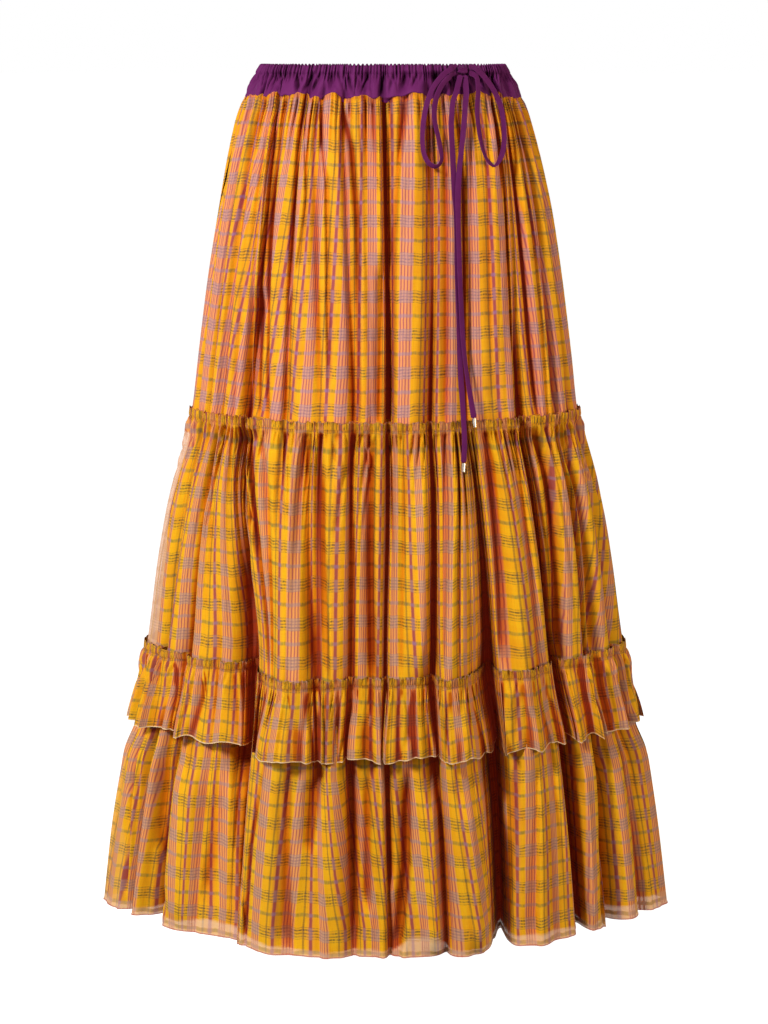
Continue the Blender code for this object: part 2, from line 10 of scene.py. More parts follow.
import bpy
import numpy as np
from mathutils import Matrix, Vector


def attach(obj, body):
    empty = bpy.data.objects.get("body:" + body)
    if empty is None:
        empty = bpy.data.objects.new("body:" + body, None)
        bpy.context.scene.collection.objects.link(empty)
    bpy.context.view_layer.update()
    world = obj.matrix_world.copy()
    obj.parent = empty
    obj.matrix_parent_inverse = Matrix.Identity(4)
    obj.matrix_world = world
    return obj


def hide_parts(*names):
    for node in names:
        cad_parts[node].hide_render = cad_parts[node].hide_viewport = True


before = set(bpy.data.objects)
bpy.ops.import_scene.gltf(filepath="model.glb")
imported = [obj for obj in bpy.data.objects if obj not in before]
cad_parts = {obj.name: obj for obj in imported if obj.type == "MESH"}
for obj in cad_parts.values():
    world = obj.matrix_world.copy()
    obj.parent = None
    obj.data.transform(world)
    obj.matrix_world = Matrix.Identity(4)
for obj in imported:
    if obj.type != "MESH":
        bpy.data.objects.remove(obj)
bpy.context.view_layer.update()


# ---------------------------------------------------------------------------------------------------------
# Studio: a plain pale floor under the skirt, an even pale room, one large soft light high on the left of the
# front, a weaker one on the right, and one at each side for the edges. The camera stands 3.6 m in front.

FLOOR_HEIGHT = -1.02
FLOOR_RADIUS = 400.0
CAMERA_BACK = 3.6
CAMERA_DOWN = 7.3  # degrees
LONG_SIDE = 1024
FOCAL_PIXELS = 3490
SENSOR = 36.0
LIGHTS = (
    # name, place, aimed at, size, watts, colour
    ("key", (-1.6, -3.0, 1.3), (0.0, 0.0, -0.40), 0.6, 121.0, (1.0, 0.985, 0.95)),
    ("fill", (2.4, -2.7, 0.3), (0.0, 0.0, -0.5), 1.2, 21.0, (1.0, 0.85, 0.70)),
    ("side_right", (2.6, -0.6, -0.1), (0.0, 0.0, -0.5), 0.8, 20.0, (1.0, 0.76, 0.56)),
    ("side_left", (-2.6, -0.3, -0.1), (0.0, 0.0, -0.5), 0.8, 20.0, (1.0, 0.98, 0.96)),
)
ROOM = 0.20  # strength of the room's light
ROOM_SEEN = 1.0  # its strength as the camera sees it
WHITE = (1.0, 1.0, 1.0, 1.0)
FLOOR_COLOUR = (0.80, 0.80, 0.80, 1.0)
FLOOR_GLOW = 0.86
CLOTH_SPECULAR = 0.04
METAL_SPECULAR = 0.5
SHEEN_ROUGHNESS = 0.4


class Wire:
    """One output of a node. Arithmetic on wires adds Math nodes, in the order in which it is written."""

    def __init__(self, tree, socket):
        self.tree, self.socket = tree, socket

    def node(self, kind, settings=None, sockets=None, output=0):
        """A new node: its settings are set first, then its sockets get values or wires, by name or number."""
        made = self.tree.nodes.new(kind)
        for name, value in (settings or {}).items():
            setattr(made, name, value)
        for name, value in (sockets or {}).items():
            if isinstance(value, Wire):
                self.tree.links.new(value.socket, made.inputs[name])
            else:
                made.inputs[name].default_value = value
        return Wire(self.tree, made.outputs[output])

    def math(self, operation, *others, clamp=False):
        """A Math node whose first value is this wire."""
        settings = {"operation": operation, "use_clamp": clamp}
        return self.node("ShaderNodeMath", settings, dict(enumerate((self, *others))))

    def __add__(self, other):
        return self.math("ADD", other)

    def __sub__(self, other):
        return self.math("SUBTRACT", other)

    def __rsub__(self, other):
        return self.node("ShaderNodeMath", {"operation": "SUBTRACT"}, {0: other, 1: self})

    def __mul__(self, other):
        return self.math("MULTIPLY", other)

    def __truediv__(self, other):
        return self.math("DIVIDE", other)

    __radd__ = __add__
    __rmul__ = __mul__

    def mixed(self, under, over, blend="MIX"):
        """The colour under, with over laid on it by this wire's share."""
        settings = {"data_type": "RGBA", "blend_type": blend, "clamp_factor": True}
        return self.node("ShaderNodeMix", settings, {0: self, 6: under, 7: over}, output=2)


def new_material(name, roughness, metallic=0.0, sheen=0.0):
    """A new material with a Principled shader. Its plain numbers are set here. Gives it, its shader, and a
    wire to start from."""
    made = bpy.data.materials.new(name)
    made.use_nodes = True
    shader = made.node_tree.nodes["Principled BSDF"]
    shader.inputs["Roughness"].default_value = roughness
    shader.inputs["Metallic"].default_value = metallic
    shader.inputs["Sheen Weight"].default_value = sheen
    shader.inputs["Sheen Roughness"].default_value = SHEEN_ROUGHNESS
    shader.inputs["Specular IOR Level"].default_value = METAL_SPECULAR if metallic else CLOTH_SPECULAR
    return made, shader, Wire(made.node_tree, None)


def wired(shader, name, wire):
    """Joins a wire to one of the shader's sockets."""
    wire.tree.links.new(wire.socket, shader.inputs[name])


def shown(made):
    """Puts a new object in the scene."""
    bpy.context.scene.collection.objects.link(made)
    return made


def new_piece(name, points, faces, material):
    """An object at the origin from rows of points and of faces, smooth, in its one material."""
    mesh = bpy.data.meshes.new(name)
    mesh.from_pydata(points.reshape(-1, 3), [], faces)
    mesh.shade_smooth()
    mesh.materials.append(material)
    return shown(bpy.data.objects.new(name, mesh))


def aimed(made, place, target):
    """Puts a camera or a light at its place and turns it to its target."""
    made.location = place
    made.rotation_euler = (Vector(target) - Vector(place)).to_track_quat("-Z", "Y").to_euler()


floor_paint, floor_shader, wire = new_material("floor_paint", 0.9)
floor_shader.inputs["Base Color"].default_value = FLOOR_COLOUR
floor_shader.inputs["Emission Color"].default_value = WHITE
floor_shader.inputs["Emission Strength"].default_value = FLOOR_GLOW
turn = np.linspace(0, 2 * np.pi, 64, endpoint=False)
rim = FLOOR_RADIUS * np.stack([np.cos(turn), np.sin(turn), np.zeros_like(turn)], axis=1)
floor = new_piece("floor", rim + (0.0, 0.0, FLOOR_HEIGHT), [list(range(len(turn)))], floor_paint)
floor.visible_diffuse = False  # the room lights the skirt from below, the floor does not

for name, place, target, size, watts, colour in LIGHTS:
    lamp = bpy.data.lights.new(name, "AREA")
    lamp.energy, lamp.size, lamp.color = watts, size, colour
    aimed(shown(bpy.data.objects.new(name, lamp)), place, target)

room = bpy.data.worlds.new("room")
room.use_nodes = True
bpy.context.scene.world = room
background = room.node_tree.nodes["Background"]
background.inputs["Color"].default_value = WHITE
sight = Wire(room.node_tree, None).node("ShaderNodeLightPath")
strength = ROOM + (ROOM_SEEN - ROOM) * sight
room.node_tree.links.new(strength.socket, background.inputs["Strength"])
bpy.context.scene.view_settings.view_transform = "Standard"

lens = bpy.data.cameras.new("camera")
lens.sensor_width = SENSOR
lens.lens = SENSOR * FOCAL_PIXELS / LONG_SIDE
lens.shift_x = -1 / LONG_SIDE
camera = shown(bpy.data.objects.new("camera", lens))
camera.location = (0.0, -CAMERA_BACK, 0.0)
camera.rotation_euler = (math.radians(90 - CAMERA_DOWN), 0.0, 0.0)
bpy.context.scene.camera = camera


# ---------------------------------------------------------------------------------------------------------
# Drawstring: one narrow ribbon of dark purple cotton, folded flat and stitched, that comes out of the casing
# and is tied in a bow. Two loops hang to the sides of the knot, and two tails end in crimped metal tips.

# The crest of the cloth, which the bow lies on: height, half width, depth to the front, depth to the back,
# and side pinch, which draws the quarters in to a lens shape.
SECTIONS = np.array(
    [
        (0.000, 0.1340, 0.100, 0.098, 0.00),
        (-0.031, 0.1446, 0.107, 0.105, 0.03),
        (-0.062, 0.1550, 0.116, 0.113, 0.05),
        (-0.109, 0.1654, 0.127, 0.123, 0.08),
        (-0.204, 0.1810, 0.143, 0.138, 0.15),
        (-0.298, 0.1934, 0.156, 0.150, 0.22),
        (-0.358, 0.2007, 0.165, 0.158, 0.26),
        (-0.390, 0.2110, 0.177, 0.169, 0.28),
        (-0.429, 0.2215, 0.190, 0.181, 0.30),
        (-0.504, 0.2360, 0.211, 0.201, 0.34),
        (-0.598, 0.2490, 0.236, 0.222, 0.38),
        (-0.685, 0.2660, 0.238, 0.226, 0.40),
        (-0.782, 0.2810, 0.242, 0.230, 0.40),
        (-0.874, 0.2920, 0.245, 0.233, 0.40),
    ]
)
RIBBON_WIDTH = 0.0056
RIBBON_THICK = 0.0009
RIBBON_STEP = 0.0016
# The section of the ribbon, going round it: shares of half its width, and of half its thickness.
RIBBON_ACROSS = np.array([-1.0, -0.95, -0.85, 0.0, 0.85, 0.95, 1.0, 0.95, 0.85, 0.0, -0.85, -0.95])
RIBBON_RISE = np.array([0.0, -0.75, -1.0, -1.0, -1.0, -0.75, 0.0, 0.75, 1.0, 1.0, 1.0, 0.75])
# How far the ribbon rolls on its way, in degrees: rows of share of the way and roll.
LOOP_ROLLS = {
    "left": ((0.0, 0), (0.10, 15), (0.20, 52), (0.42, 64), (0.52, 52), (0.62, 8), (0.80, 0), (1.0, 20)),
    "right": ((0.0, 0), (0.18, 8), (0.32, 46), (0.48, 60), (0.58, 40), (0.70, 4), (1.0, 10)),
}
TAIL_ROLLS = {
    "left": ((0.0, 40), (0.10, 25), (0.30, 0), (0.60, -8), (0.80, 20), (1.0, 5)),
    "right": ((0.0, 35), (0.12, 50), (0.30, 30), (0.45, 5), (0.80, -14), (1.0, 10)),
}
KNOT_AT = (0.0755, -0.0052)
KNOT_HALF = (0.0058, 0.0032, 0.0034)
KNOT_OFF = 0.0009
KNOT_GAP = 0.0009
CORD_STRAIGHT = 0.004  # of each loop and tail, before it bends
LOOP_ABOVE = 0.0031
LOOP_BELOW = 0.0034
TAIL_ASIDE = 0.0031
# The knot is a sphere whose sine and cosine are raised to this power, with this dent round its middle.
KNOT_ROUNDING = 0.62
KNOT_DENT = 0.16
KNOT_DENT_WIDE = 0.22
# How the ribbon's roll, in radians, and its width, as a share, waver along it, and the length of the wave.
ROLL_WAVER = (0.10, 0.013)
WIDTH_WAVER = (0.06, 0.017)
RIBBON_END = 0.02  # of its width, at the closed ends
CURVE_STEPS = 24
RIBBON_DYES = ((0.098, 0.010, 0.075, 1), (0.135, 0.016, 0.105, 1))
RIBBON_FOLD_AND_HIGHLIGHT = (0.200, 0.040, 0.170, 1)
RIBBON_SHADOW = (0.02, 0.002, 0.02, 1)
RIBBON_THREAD = 0.0009
METALS = ((0.86, 0.80, 0.70, 1), (0.62, 0.55, 0.46, 1))
# Routes: x, height and distance off the crest.
LEFT_LOOP = (
    (0.0640, -0.0035, 0.0070),
    (0.0558, -0.0095, 0.0070),
    (0.0466, -0.0219, 0.0060),
    (0.0406, -0.0377, 0.0052),
    (0.0368, -0.0595, 0.0046),
    (0.0368, -0.0822, 0.0044),
    (0.0416, -0.0955, 0.0044),
    (0.0497, -0.1000, 0.0050),
    (0.0545, -0.0925, 0.0056),
    (0.0520, -0.0743, 0.0056),
    (0.0475, -0.0525, 0.0056),
    (0.0490, -0.0347, 0.0056),
    (0.0545, -0.0205, 0.0060),
    (0.0620, -0.0118, 0.0064),
)
RIGHT_LOOP = (
    (0.0870, -0.0035, 0.0070),
    (0.0963, -0.0130, 0.0070),
    (0.1065, -0.0277, 0.0060),
    (0.1135, -0.0445, 0.0052),
    (0.1166, -0.0692, 0.0046),
    (0.1145, -0.0889, 0.0044),
    (0.1065, -0.0988, 0.0044),
    (0.0984, -0.0920, 0.0048),
    (0.0925, -0.0722, 0.0052),
    (0.0893, -0.0465, 0.0056),
    (0.0900, -0.0260, 0.0060),
    (0.0885, -0.0130, 0.0064),
)
LEFT_TAIL = (
    (0.0688, -0.0260, 0.0060),
    (0.0655, -0.0380, 0.0054),
    (0.0645, -0.0605, 0.0044),
    (0.0660, -0.0920, 0.0040),
    (0.0675, -0.1240, 0.0038),
    (0.0692, -0.1513, 0.0038),
    (0.0708, -0.2268, 0.0038),
    (0.0724, -0.3000, 0.0060),
    (0.0728, -0.3386, 0.0110),
    (0.0737, -0.3700, 0.0120),
    (0.0745, -0.3910, 0.0080),
)
RIGHT_TAIL = (
    (0.0784, -0.0270, 0.0062),
    (0.0775, -0.0385, 0.0060),
    (0.0762, -0.0600, 0.0056),
    (0.0738, -0.0840, 0.0056),
    (0.0714, -0.1050, 0.0060),
    (0.0702, -0.1330, 0.0062),
    (0.0714, -0.1920, 0.0062),
    (0.0742, -0.2600, 0.0062),
    (0.0772, -0.3000, 0.0080),
    (0.0802, -0.3280, 0.0108),
    (0.0826, -0.3480, 0.0125),
)


def ring_at(angle, sizes):
    """Points of the crest in plan, and the direction in which it runs: an ellipse whose depth is drawn in
    towards the sides by side pinch times the sine squared. Sizes are one row of SECTIONS to each height."""
    half_width, front, back, pinch = (size[:, None] for size in sizes.T)
    sine, cosine = np.sin(angle), np.cos(angle)
    depth = np.where(cosine > 0, front, back)
    drawn = 1 - pinch * sine**2
    ring = np.stack([half_width * sine, -depth * cosine * drawn], axis=-1)
    run = np.stack([half_width * cosine, depth * sine * (drawn + 2 * pinch * cosine**2)], axis=-1)
    return ring, run / np.linalg.norm(run, axis=-1, keepdims=True)


def front_point(x, height, off):
    """The point on the front of the crest at this x and height, moved straight out by off, and the crest's
    run there. The angle comes from the half width, since x is half width times its sine."""
    sizes = np.array([[np.interp(-height, -SECTIONS[:, 0], size) for size in SECTIONS[:, 1:].T]])
    ring, run = ring_at(np.array([[math.asin(x / sizes[0, 0])]]), sizes)
    run = run[0, 0]
    plan = ring[0, 0] + off * np.array([run[1], -run[0]])
    return np.array([*plan, height]), np.array([*run, 0.0])


def length_to_each(points):
    """The length of a line of points from its first to each."""
    return np.concatenate([[0], np.cumsum(np.linalg.norm(np.diff(points, axis=0), axis=1))])


def smooth_route(points):
    """Points a ribbon step apart along a Catmull-Rom curve through the given ones, and its length."""
    points = np.asarray(points, float)
    padded = np.concatenate([2 * points[:1] - points[1:2], points, 2 * points[-1:] - points[-2:-1]])
    a, b, c, d = padded[:-3, None], padded[1:-2, None], padded[2:-1, None], padded[3:, None]
    share = np.linspace(0, 1, CURVE_STEPS, endpoint=False)[:, None]
    cubic = (3 * b - a - 3 * c + d) * share**3 + (2 * a - 5 * b + 4 * c - d) * share**2 + (c - a) * share
    fine = np.concatenate([(b + cubic / 2).reshape(-1, 3), points[-1:]])
    length = length_to_each(fine)
    wanted = np.linspace(0, length[-1], round(length[-1] / RIBBON_STEP) + 1)
    return np.stack([np.interp(wanted, length, fine[:, axis]) for axis in range(3)], axis=1), length[-1]


def grid_faces(rows, across):
    """Four-sided faces of a grid whose columns close round on themselves, seen from outside."""
    here = np.arange(rows * across).reshape(rows, across)
    beside = np.roll(here, -1, axis=1)
    return np.stack([here[1:], beside[1:], beside[:-1], here[:-1]], axis=-1).reshape(-1, 4)


def uv_map(made, corners):
    """Gives a piece its cloth map, one pair to each face's corner."""
    layer = made.data.uv_layers.new(name="cloth")
    layer.data.foreach_set("uv", np.ascontiguousarray(corners, np.float32).ravel())


def mapped_piece(name, points, across, down, material):
    """A piece from a grid of points that closes round on itself, with a cloth map of across and down."""
    faces = grid_faces(*points.shape[:2])
    made = new_piece(name, points, faces, material)
    place = np.stack(np.broadcast_arrays(across, down), axis=-1)
    uv_map(made, place.reshape(-1, 2)[faces.ravel()])
    return made


def ribbon_piece(name, route, outward, material, rolls, seed):
    """A flat ribbon along a route: each cross-section is a thin rounded slot, square to the route, whose flat
    side faces outward and is rolled as its rows say. Its ends close in a point inside the knot or tip."""
    run = np.gradient(route, axis=0)
    run /= np.linalg.norm(run, axis=1, keepdims=True)
    outward = outward - run * (outward * run).sum(axis=1, keepdims=True)
    outward /= np.linalg.norm(outward, axis=1, keepdims=True)
    across = np.cross(outward, run)
    along = np.arange(len(route))[:, None] * RIBBON_STEP
    shares, degrees = np.array(rolls).T
    waver, wave = ROLL_WAVER
    roll = np.radians(np.interp(along / along[-1], shares, degrees)) + waver * np.sin(along / wave + seed)
    wide = across * np.cos(roll) + outward * np.sin(roll)
    thick = outward * np.cos(roll) - across * np.sin(roll)
    ends = np.ones_like(along)
    ends[[0, -1]] = RIBBON_END
    waver, wave = WIDTH_WAVER
    width = RIBBON_WIDTH / 2 * (1 + waver * np.sin(along / wave + 3 * seed)) * ends
    points = (
        route[:, None]
        + wide[:, None] * (width * RIBBON_ACROSS)[..., None]
        + thick[:, None] * (RIBBON_THICK / 2 * RIBBON_RISE * ends)[..., None]
    )
    return mapped_piece(name, points, RIBBON_ACROSS / 2 + 0.5, along, material)


def noise(place, scale, detail, stretch=None):
    """Cloudy noise from 0 to 1. Stretch is how much closer it runs across and down than it would."""
    if stretch:
        place = place.node("ShaderNodeMapping", None, {"Vector": place, "Scale": (*stretch, 1.0)})
    return place.node("ShaderNodeTexNoise", None, {"Vector": place, "Scale": scale, "Detail": detail})


def cloth_place(start):
    """A place on the cloth map."""
    return start.node("ShaderNodeUVMap", {"uv_map": "cloth"})


def part_of(place, number):
    """One of a place's numbers: 0 is across and 1 is down."""
    return place.node("ShaderNodeSeparateXYZ", None, {0: place}, output=number)


def embossed(shader, strength, distance, height):
    """Lets a wire raise the shader's surface."""
    sockets = {"Strength": strength, "Distance": distance, "Height": height}
    wired(shader, "Normal", height.node("ShaderNodeBump", None, sockets))


def ribbon_cotton():
    """Dark purple cotton: paler along its folded edges, partly a painted highlight, with a fine weave and a
    soft sheen.
    """
    made, shader, start = new_material("ribbon_cotton", 0.6, sheen=0.05)
    place = cloth_place(start)
    from_edge = (part_of(place, 0) - 0.5).math("ABSOLUTE") * 2
    edge = from_edge.math("SUBTRACT", 0.62, clamp=True) * 2.2
    cloudy = noise(start.node("ShaderNodeTexCoord", output=3), 160.0, 3.0)
    threads = (part_of(place, 1) * (2 * math.pi / RIBBON_THREAD)).math("SINE") * 0.5 + 0.5
    dye = cloudy.mixed(*RIBBON_DYES)
    # Paler along the edges: partly the fold itself, partly a painted highlight.
    dye = (edge * 0.25).mixed(dye, RIBBON_FOLD_AND_HIGHLIGHT)
    dye = (threads * 0.10).mixed(dye, RIBBON_SHADOW)
    wired(shader, "Base Color", dye)
    embossed(shader, 0.5, 0.0004, threads * 0.5 + cloudy)
    return made


def rounded(value):
    """A sine or cosine raised to a power below 1 with its sign kept, which makes a sphere blocky."""
    return np.sign(value) * np.abs(value) ** KNOT_ROUNDING


def pinched_knot(name, centre, run, material):
    """The knot: a rounded block, a sphere whose sine and cosine are raised to a power below 1, with a dent
    where the ribbon turns over itself and shallow creases that wind round it."""
    tilt = np.linspace(-np.pi / 2, np.pi / 2, 40)[:, None]
    turn = np.linspace(0, 2 * np.pi, 56, endpoint=False)[None, :]
    dent = 1 - KNOT_DENT * np.exp(-((np.sin(tilt) / KNOT_DENT_WIDE) ** 2))
    dent = dent + 0.05 * np.sin(3 * turn + 4 * tilt)
    x = KNOT_HALF[0] * rounded(np.cos(tilt)) * rounded(np.cos(turn)) * dent
    y = KNOT_HALF[1] * rounded(np.cos(tilt)) * rounded(np.sin(turn)) * dent
    z = KNOT_HALF[2] * rounded(np.sin(tilt)) * (1 + 0.04 * np.sin(2 * turn))
    out = np.array([run[1], -run[0], 0.0])
    points = centre + x[..., None] * run + y[..., None] * out + z[..., None] * np.array([0.0, 0.0, 1.0])
    return mapped_piece(name, points, turn / np.pi % 1, tilt * 0.02, material)


def metal_tip():
    """Pale polished alloy, a little uneven, for the crimped tips."""
    made, shader, start = new_material("metal_tip", 0.28, metallic=1.0)
    cloudy = noise(start.node("ShaderNodeTexCoord", output=3), 900.0, 2.0)
    wired(shader, "Base Color", cloudy.mixed(*METALS))
    wired(shader, "Roughness", 0.2 + cloudy * 0.2)
    return made


def bow_part(piece, node):
    """Says that a part of the bow rides on the skirt, and which of its nodes it stands for."""
    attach(piece, "root")
    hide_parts(node)


ribbon = ribbon_cotton()
metal = metal_tip()
up = np.array([0.0, 0.0, 1.0])
knot_centre, knot_run = front_point(*KNOT_AT, KNOT_OFF + KNOT_HALF[1])
facing = np.array([knot_run[1], -knot_run[0], 0.0])
knot = pinched_knot("ribbon_knot", knot_centre, knot_run, ribbon)
bow_part(knot, "bow_knot")

leaving = knot_centre + up * LOOP_ABOVE
coming = knot_centre - up * LOOP_BELOW
foot = knot_centre - up * (KNOT_HALF[2] + KNOT_GAP)
for side_name, side, loop_places, tail_places, seed, knots in (
    ("left", -knot_run, LEFT_LOOP, LEFT_TAIL, 1.0, [knot]),
    ("right", knot_run, RIGHT_LOOP, RIGHT_TAIL, 2.3, ()),
):
    reach = side * (KNOT_HALF[0] + KNOT_GAP)
    bend = reach + side * CORD_STRAIGHT
    middle = [front_point(*place)[0] for place in loop_places]
    route, length = smooth_route([leaving + reach, leaving + bend, *middle, coming + bend, coming + reach])
    loop = ribbon_piece(f"ribbon_loop_{side_name}", route, facing, ribbon, LOOP_ROLLS[side_name], seed)
    bow_part(loop, f"bow_loop_{side_name}")

    top = foot + side * TAIL_ASIDE
    middle = [front_point(*place)[0] for place in tail_places]
    route, length = smooth_route([top, top - up * CORD_STRAIGHT, *middle])
    tail = ribbon_piece(f"ribbon_tail_{side_name}", route, facing, ribbon, TAIL_ROLLS[side_name], seed + 4)
    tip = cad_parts[f"aglet_{side_name}"]
    for material_slot in tip.material_slots:
        material_slot.material = metal
    bow_part(tail, f"bow_tail_{side_name}")


# ---------------------------------------------------------------------------------------------------------
# Waistband: a casing of plain dark purple cotton, one loop. Its top channel is drawn up on elastic in fine
# gathers, and below the stitching its folds open out to the seam, where the gathers of the check push it up.

WAIST_TOP = 0.0
WAIST_SEAM = -0.0306
UPPER_SEAM = -0.360
LOWER_SEAM = -0.603
HEM = -0.874
GAP = 0.0003  # of the casing, outside the crest
FULL_TURN = 360.0
CHANNEL = -0.0088  # the stitching under the elastic
# The main folds, as in the solids. Four angles: at the waist, upper seam, lower seam and hem. Seven depths at
# FOLD_LEVELS, below 0 for a ridge. Half widths to the left at the top and hem, and to the right.
ANGLE_LEVELS = np.array([WAIST_SEAM, UPPER_SEAM, LOWER_SEAM, HEM])
FOLD_LEVELS = np.array([WAIST_SEAM, -0.200, UPPER_SEAM, -0.480, LOWER_SEAM, -0.730, HEM])
WIDTH_LEVELS = np.array([WAIST_SEAM, HEM])
FOLDS = np.array(
    [
        (-80, -78, -77, -76, 0.001, 0.002, 0.003, 0.004, 0.006, 0.006, 0.006, 3.0, 3.0, 3.0, 4.0),
        (-68, -66, -68, -70, 0.002, 0.004, 0.006, 0.012, 0.024, 0.036, 0.044, 4.0, 6.0, 1.8, 1.2),
        (-60, -57, -55, -55, 0.002, 0.004, 0.008, 0.010, 0.020, 0.038, 0.052, 2.5, 5.0, 1.6, 1.0),
        (-54, -51, -43, -42, 0.002, 0.003, 0.003, 0.006, 0.010, 0.010, 0.010, 2.0, 2.5, 1.6, 1.6),
        (-49, -45, -31, -31, 0.004, 0.008, 0.028, 0.040, 0.070, 0.075, 0.060, 3.0, 4.0, 1.8, 1.6),
        (-33, -30, -26, -25, 0.005, 0.012, 0.012, 0.005, 0.004, 0.002, 0.002, 2.0, 2.0, 2.0, 2.0),
        (-29, -25, -22, -21, 0.000, 0.000, -0.010, -0.028, -0.050, -0.040, -0.020, 9.0, 12.0, 9.0, 12.0),
        (-25, -19, -15, -13, 0.005, 0.006, 0.004, 0.014, 0.026, 0.018, 0.010, 3.0, 4.0, 2.0, 2.2),
        (-16, -9, -8, -6, 0.006, 0.008, 0.012, 0.008, 0.012, 0.022, 0.014, 1.8, 2.0, 2.0, 3.0),
        (-8, -4, -3, -2, 0.003, 0.004, 0.004, 0.004, 0.006, 0.004, 0.003, 1.6, 1.6, 1.6, 1.6),
        (-1, 1, 0, 1, 0.008, 0.014, 0.024, 0.020, 0.022, 0.014, 0.010, 1.8, 1.6, 1.6, 1.4),
        (18, 13, 11, 12, 0.006, 0.012, 0.024, 0.020, 0.028, 0.022, 0.020, 1.9, 3.0, 1.9, 1.4),
        (24, 19, 15, 17, 0.000, 0.000, 0.000, -0.010, -0.022, -0.018, -0.014, 3.0, 4.0, 3.0, 4.0),
        (30, 24, 25, 24, 0.006, 0.012, 0.012, 0.034, 0.080, 0.090, 0.080, 2.0, 3.2, 2.0, 1.8),
        (40, 33, 34, 33, 0.003, 0.004, 0.000, -0.008, -0.018, -0.016, -0.012, 3.0, 4.0, 3.0, 4.0),
        (52, 43, 44, 44, 0.005, 0.008, 0.024, 0.040, 0.060, 0.050, 0.036, 2.0, 1.6, 3.0, 4.0),
        (62, 61, 56, 52, 0.003, 0.004, 0.012, 0.020, 0.036, 0.040, 0.044, 1.8, 1.6, 3.0, 4.5),
        (75, 74, 73, 70, 0.001, 0.003, 0.006, 0.010, 0.012, 0.012, 0.014, 2.5, 2.5, 3.0, 4.0),
        (104, 106, 108, 111, 0.002, 0.004, 0.008, 0.014, 0.020, 0.024, 0.022, 3.0, 4.5, 2.4, 2.4),
        (121, 123, 127, 130, 0.004, 0.006, 0.014, 0.022, 0.040, 0.050, 0.046, 2.6, 5.0, 2.6, 2.4),
        (137, 139, 142, 143, 0.003, 0.006, 0.012, 0.012, 0.014, 0.016, 0.014, 2.4, 3.0, 2.4, 3.0),
        (152, 155, 156, 158, 0.005, 0.010, 0.020, 0.024, 0.048, 0.060, 0.054, 2.6, 3.0, 2.6, 4.0),
        (168, 169, 171, 170, 0.003, 0.006, 0.008, 0.008, 0.010, 0.012, 0.010, 2.2, 2.4, 2.2, 2.4),
        (183, 182, 181, 183, 0.006, 0.012, 0.022, 0.020, 0.026, 0.030, 0.026, 2.4, 3.0, 2.4, 3.0),
        (199, 197, 195, 196, 0.003, 0.004, 0.010, 0.010, 0.016, 0.022, 0.018, 2.4, 3.4, 2.4, 3.0),
        (213, 210, 207, 208, 0.005, 0.008, 0.018, 0.028, 0.052, 0.062, 0.058, 2.6, 4.0, 2.6, 3.0),
        (231, 228, 223, 222, 0.003, 0.005, 0.010, 0.012, 0.014, 0.018, 0.016, 2.4, 3.0, 2.4, 3.0),
        (246, 244, 240, 237, 0.004, 0.006, 0.012, 0.020, 0.036, 0.046, 0.048, 2.6, 2.6, 2.6, 5.0),
        (262, 261, 258, 254, 0.001, 0.003, 0.006, 0.010, 0.014, 0.018, 0.020, 3.0, 3.0, 3.0, 4.0),
    ]
)
FOLD_ANGLES = FOLDS[:, 0:4]
FOLD_COLUMNS = FOLD_ANGLES[:, 1]
STRAIGHT_POWER = 4
# Hills and dips of the waistband's lower edge: rows of column and millimetres up.
SEAM_HILLS = (
    (-90, -2.0), (-76, -1.0), (-68, 1.0), (-60, 0.5), (-53, -0.6), (-49, 3.6), (-45, 3.6), (-43.5, 0.6),
    (-38, 0.8), (-34, 2.8), (-30, 2.8), (-28, -2.8), (-25, 0.2), (-23, -0.2), (-21.5, -3.2), (-17, 2.0),
    (-13, 4.4), (-11, -1.5), (-8, -2.0), (-4, 1.2), (-2, -1.4), (2, -1.8), (4.5, 0.2), (7, 0.6), (9, 4.6),
    (11, 3.0), (13, -3.4), (16, -4.4), (19, 0.4), (22, 1.0), (25, 0.6), (28, 1.8), (29, 0.0), (32, 4.2),
    (34, 5.6), (36.5, 1.6), (40, -1.0), (43.5, 3.4), (46.5, 3.8), (50, -1.8), (57, -1.0), (68, -2.2),
    (90, -2.0),
)
# Deep gathers of the waistband under the bow, where the ribbon draws it up, also darkened as painted shade:
# column, depth, half width.
DRAWN_UP = (
    (17.0, 0.009, 2.2), (23.5, 0.006, 1.4), (33.0, 0.004, 1.4), (40.5, 0.008, 1.5), (-29.0, 0.005, 1.0),
    (-58.0, 0.004, 1.2),
)
# The narrow part of a fold's bell: its share, its width as a share of the whole's, and how much deeper it is.
SHARP_SHARE = 0.40
SHARP_WIDTH = 0.42
SHARPER = 1.20
# Gathers, a row for each size: pitch, depth, reach down the cloth, what is added to the seed, the share that
# never fades, slant, and the power of the dip.
CHANNEL_GATHERS = ((0.0043, 0.0029, 1.0, 0, 1.0, 0.05, 1.6),)
OPENED_GATHERS = (
    (0.0080, 0.0030, 0.012, 1, 0.0, 0.50, 3.0),
    (0.0150, 0.0040, 0.018, 2, 0.2, 0.50, 3.0),
    (0.0290, 0.0050, 0.060, 3, 0.7, 0.30, 7.0),
)
CASING_SEED = 11
# How much the depths and the reaches of single dips differ from those of their size.
DIP_DEPTHS = (0.35, 1.25)
DIP_REACHES = (0.45, 1.7)
WAIST_SIDES_IN = 0.0062  # of the top edge, at the sides
WAIST_RIGHT_IN = 0.0045
PUSHED_OUT = 0.35  # of the push of the check's gathers
# Edges that turn in over the elastic: distance inward, rise, way down the cloth, and share of the ripple.
TURNED_OVER = ((0.0034, -0.0080, -0.008, 0.0), (0.0028, -0.0016, -0.002, 1.0), (0.0012, 0.0004, 0.0, 1.0))
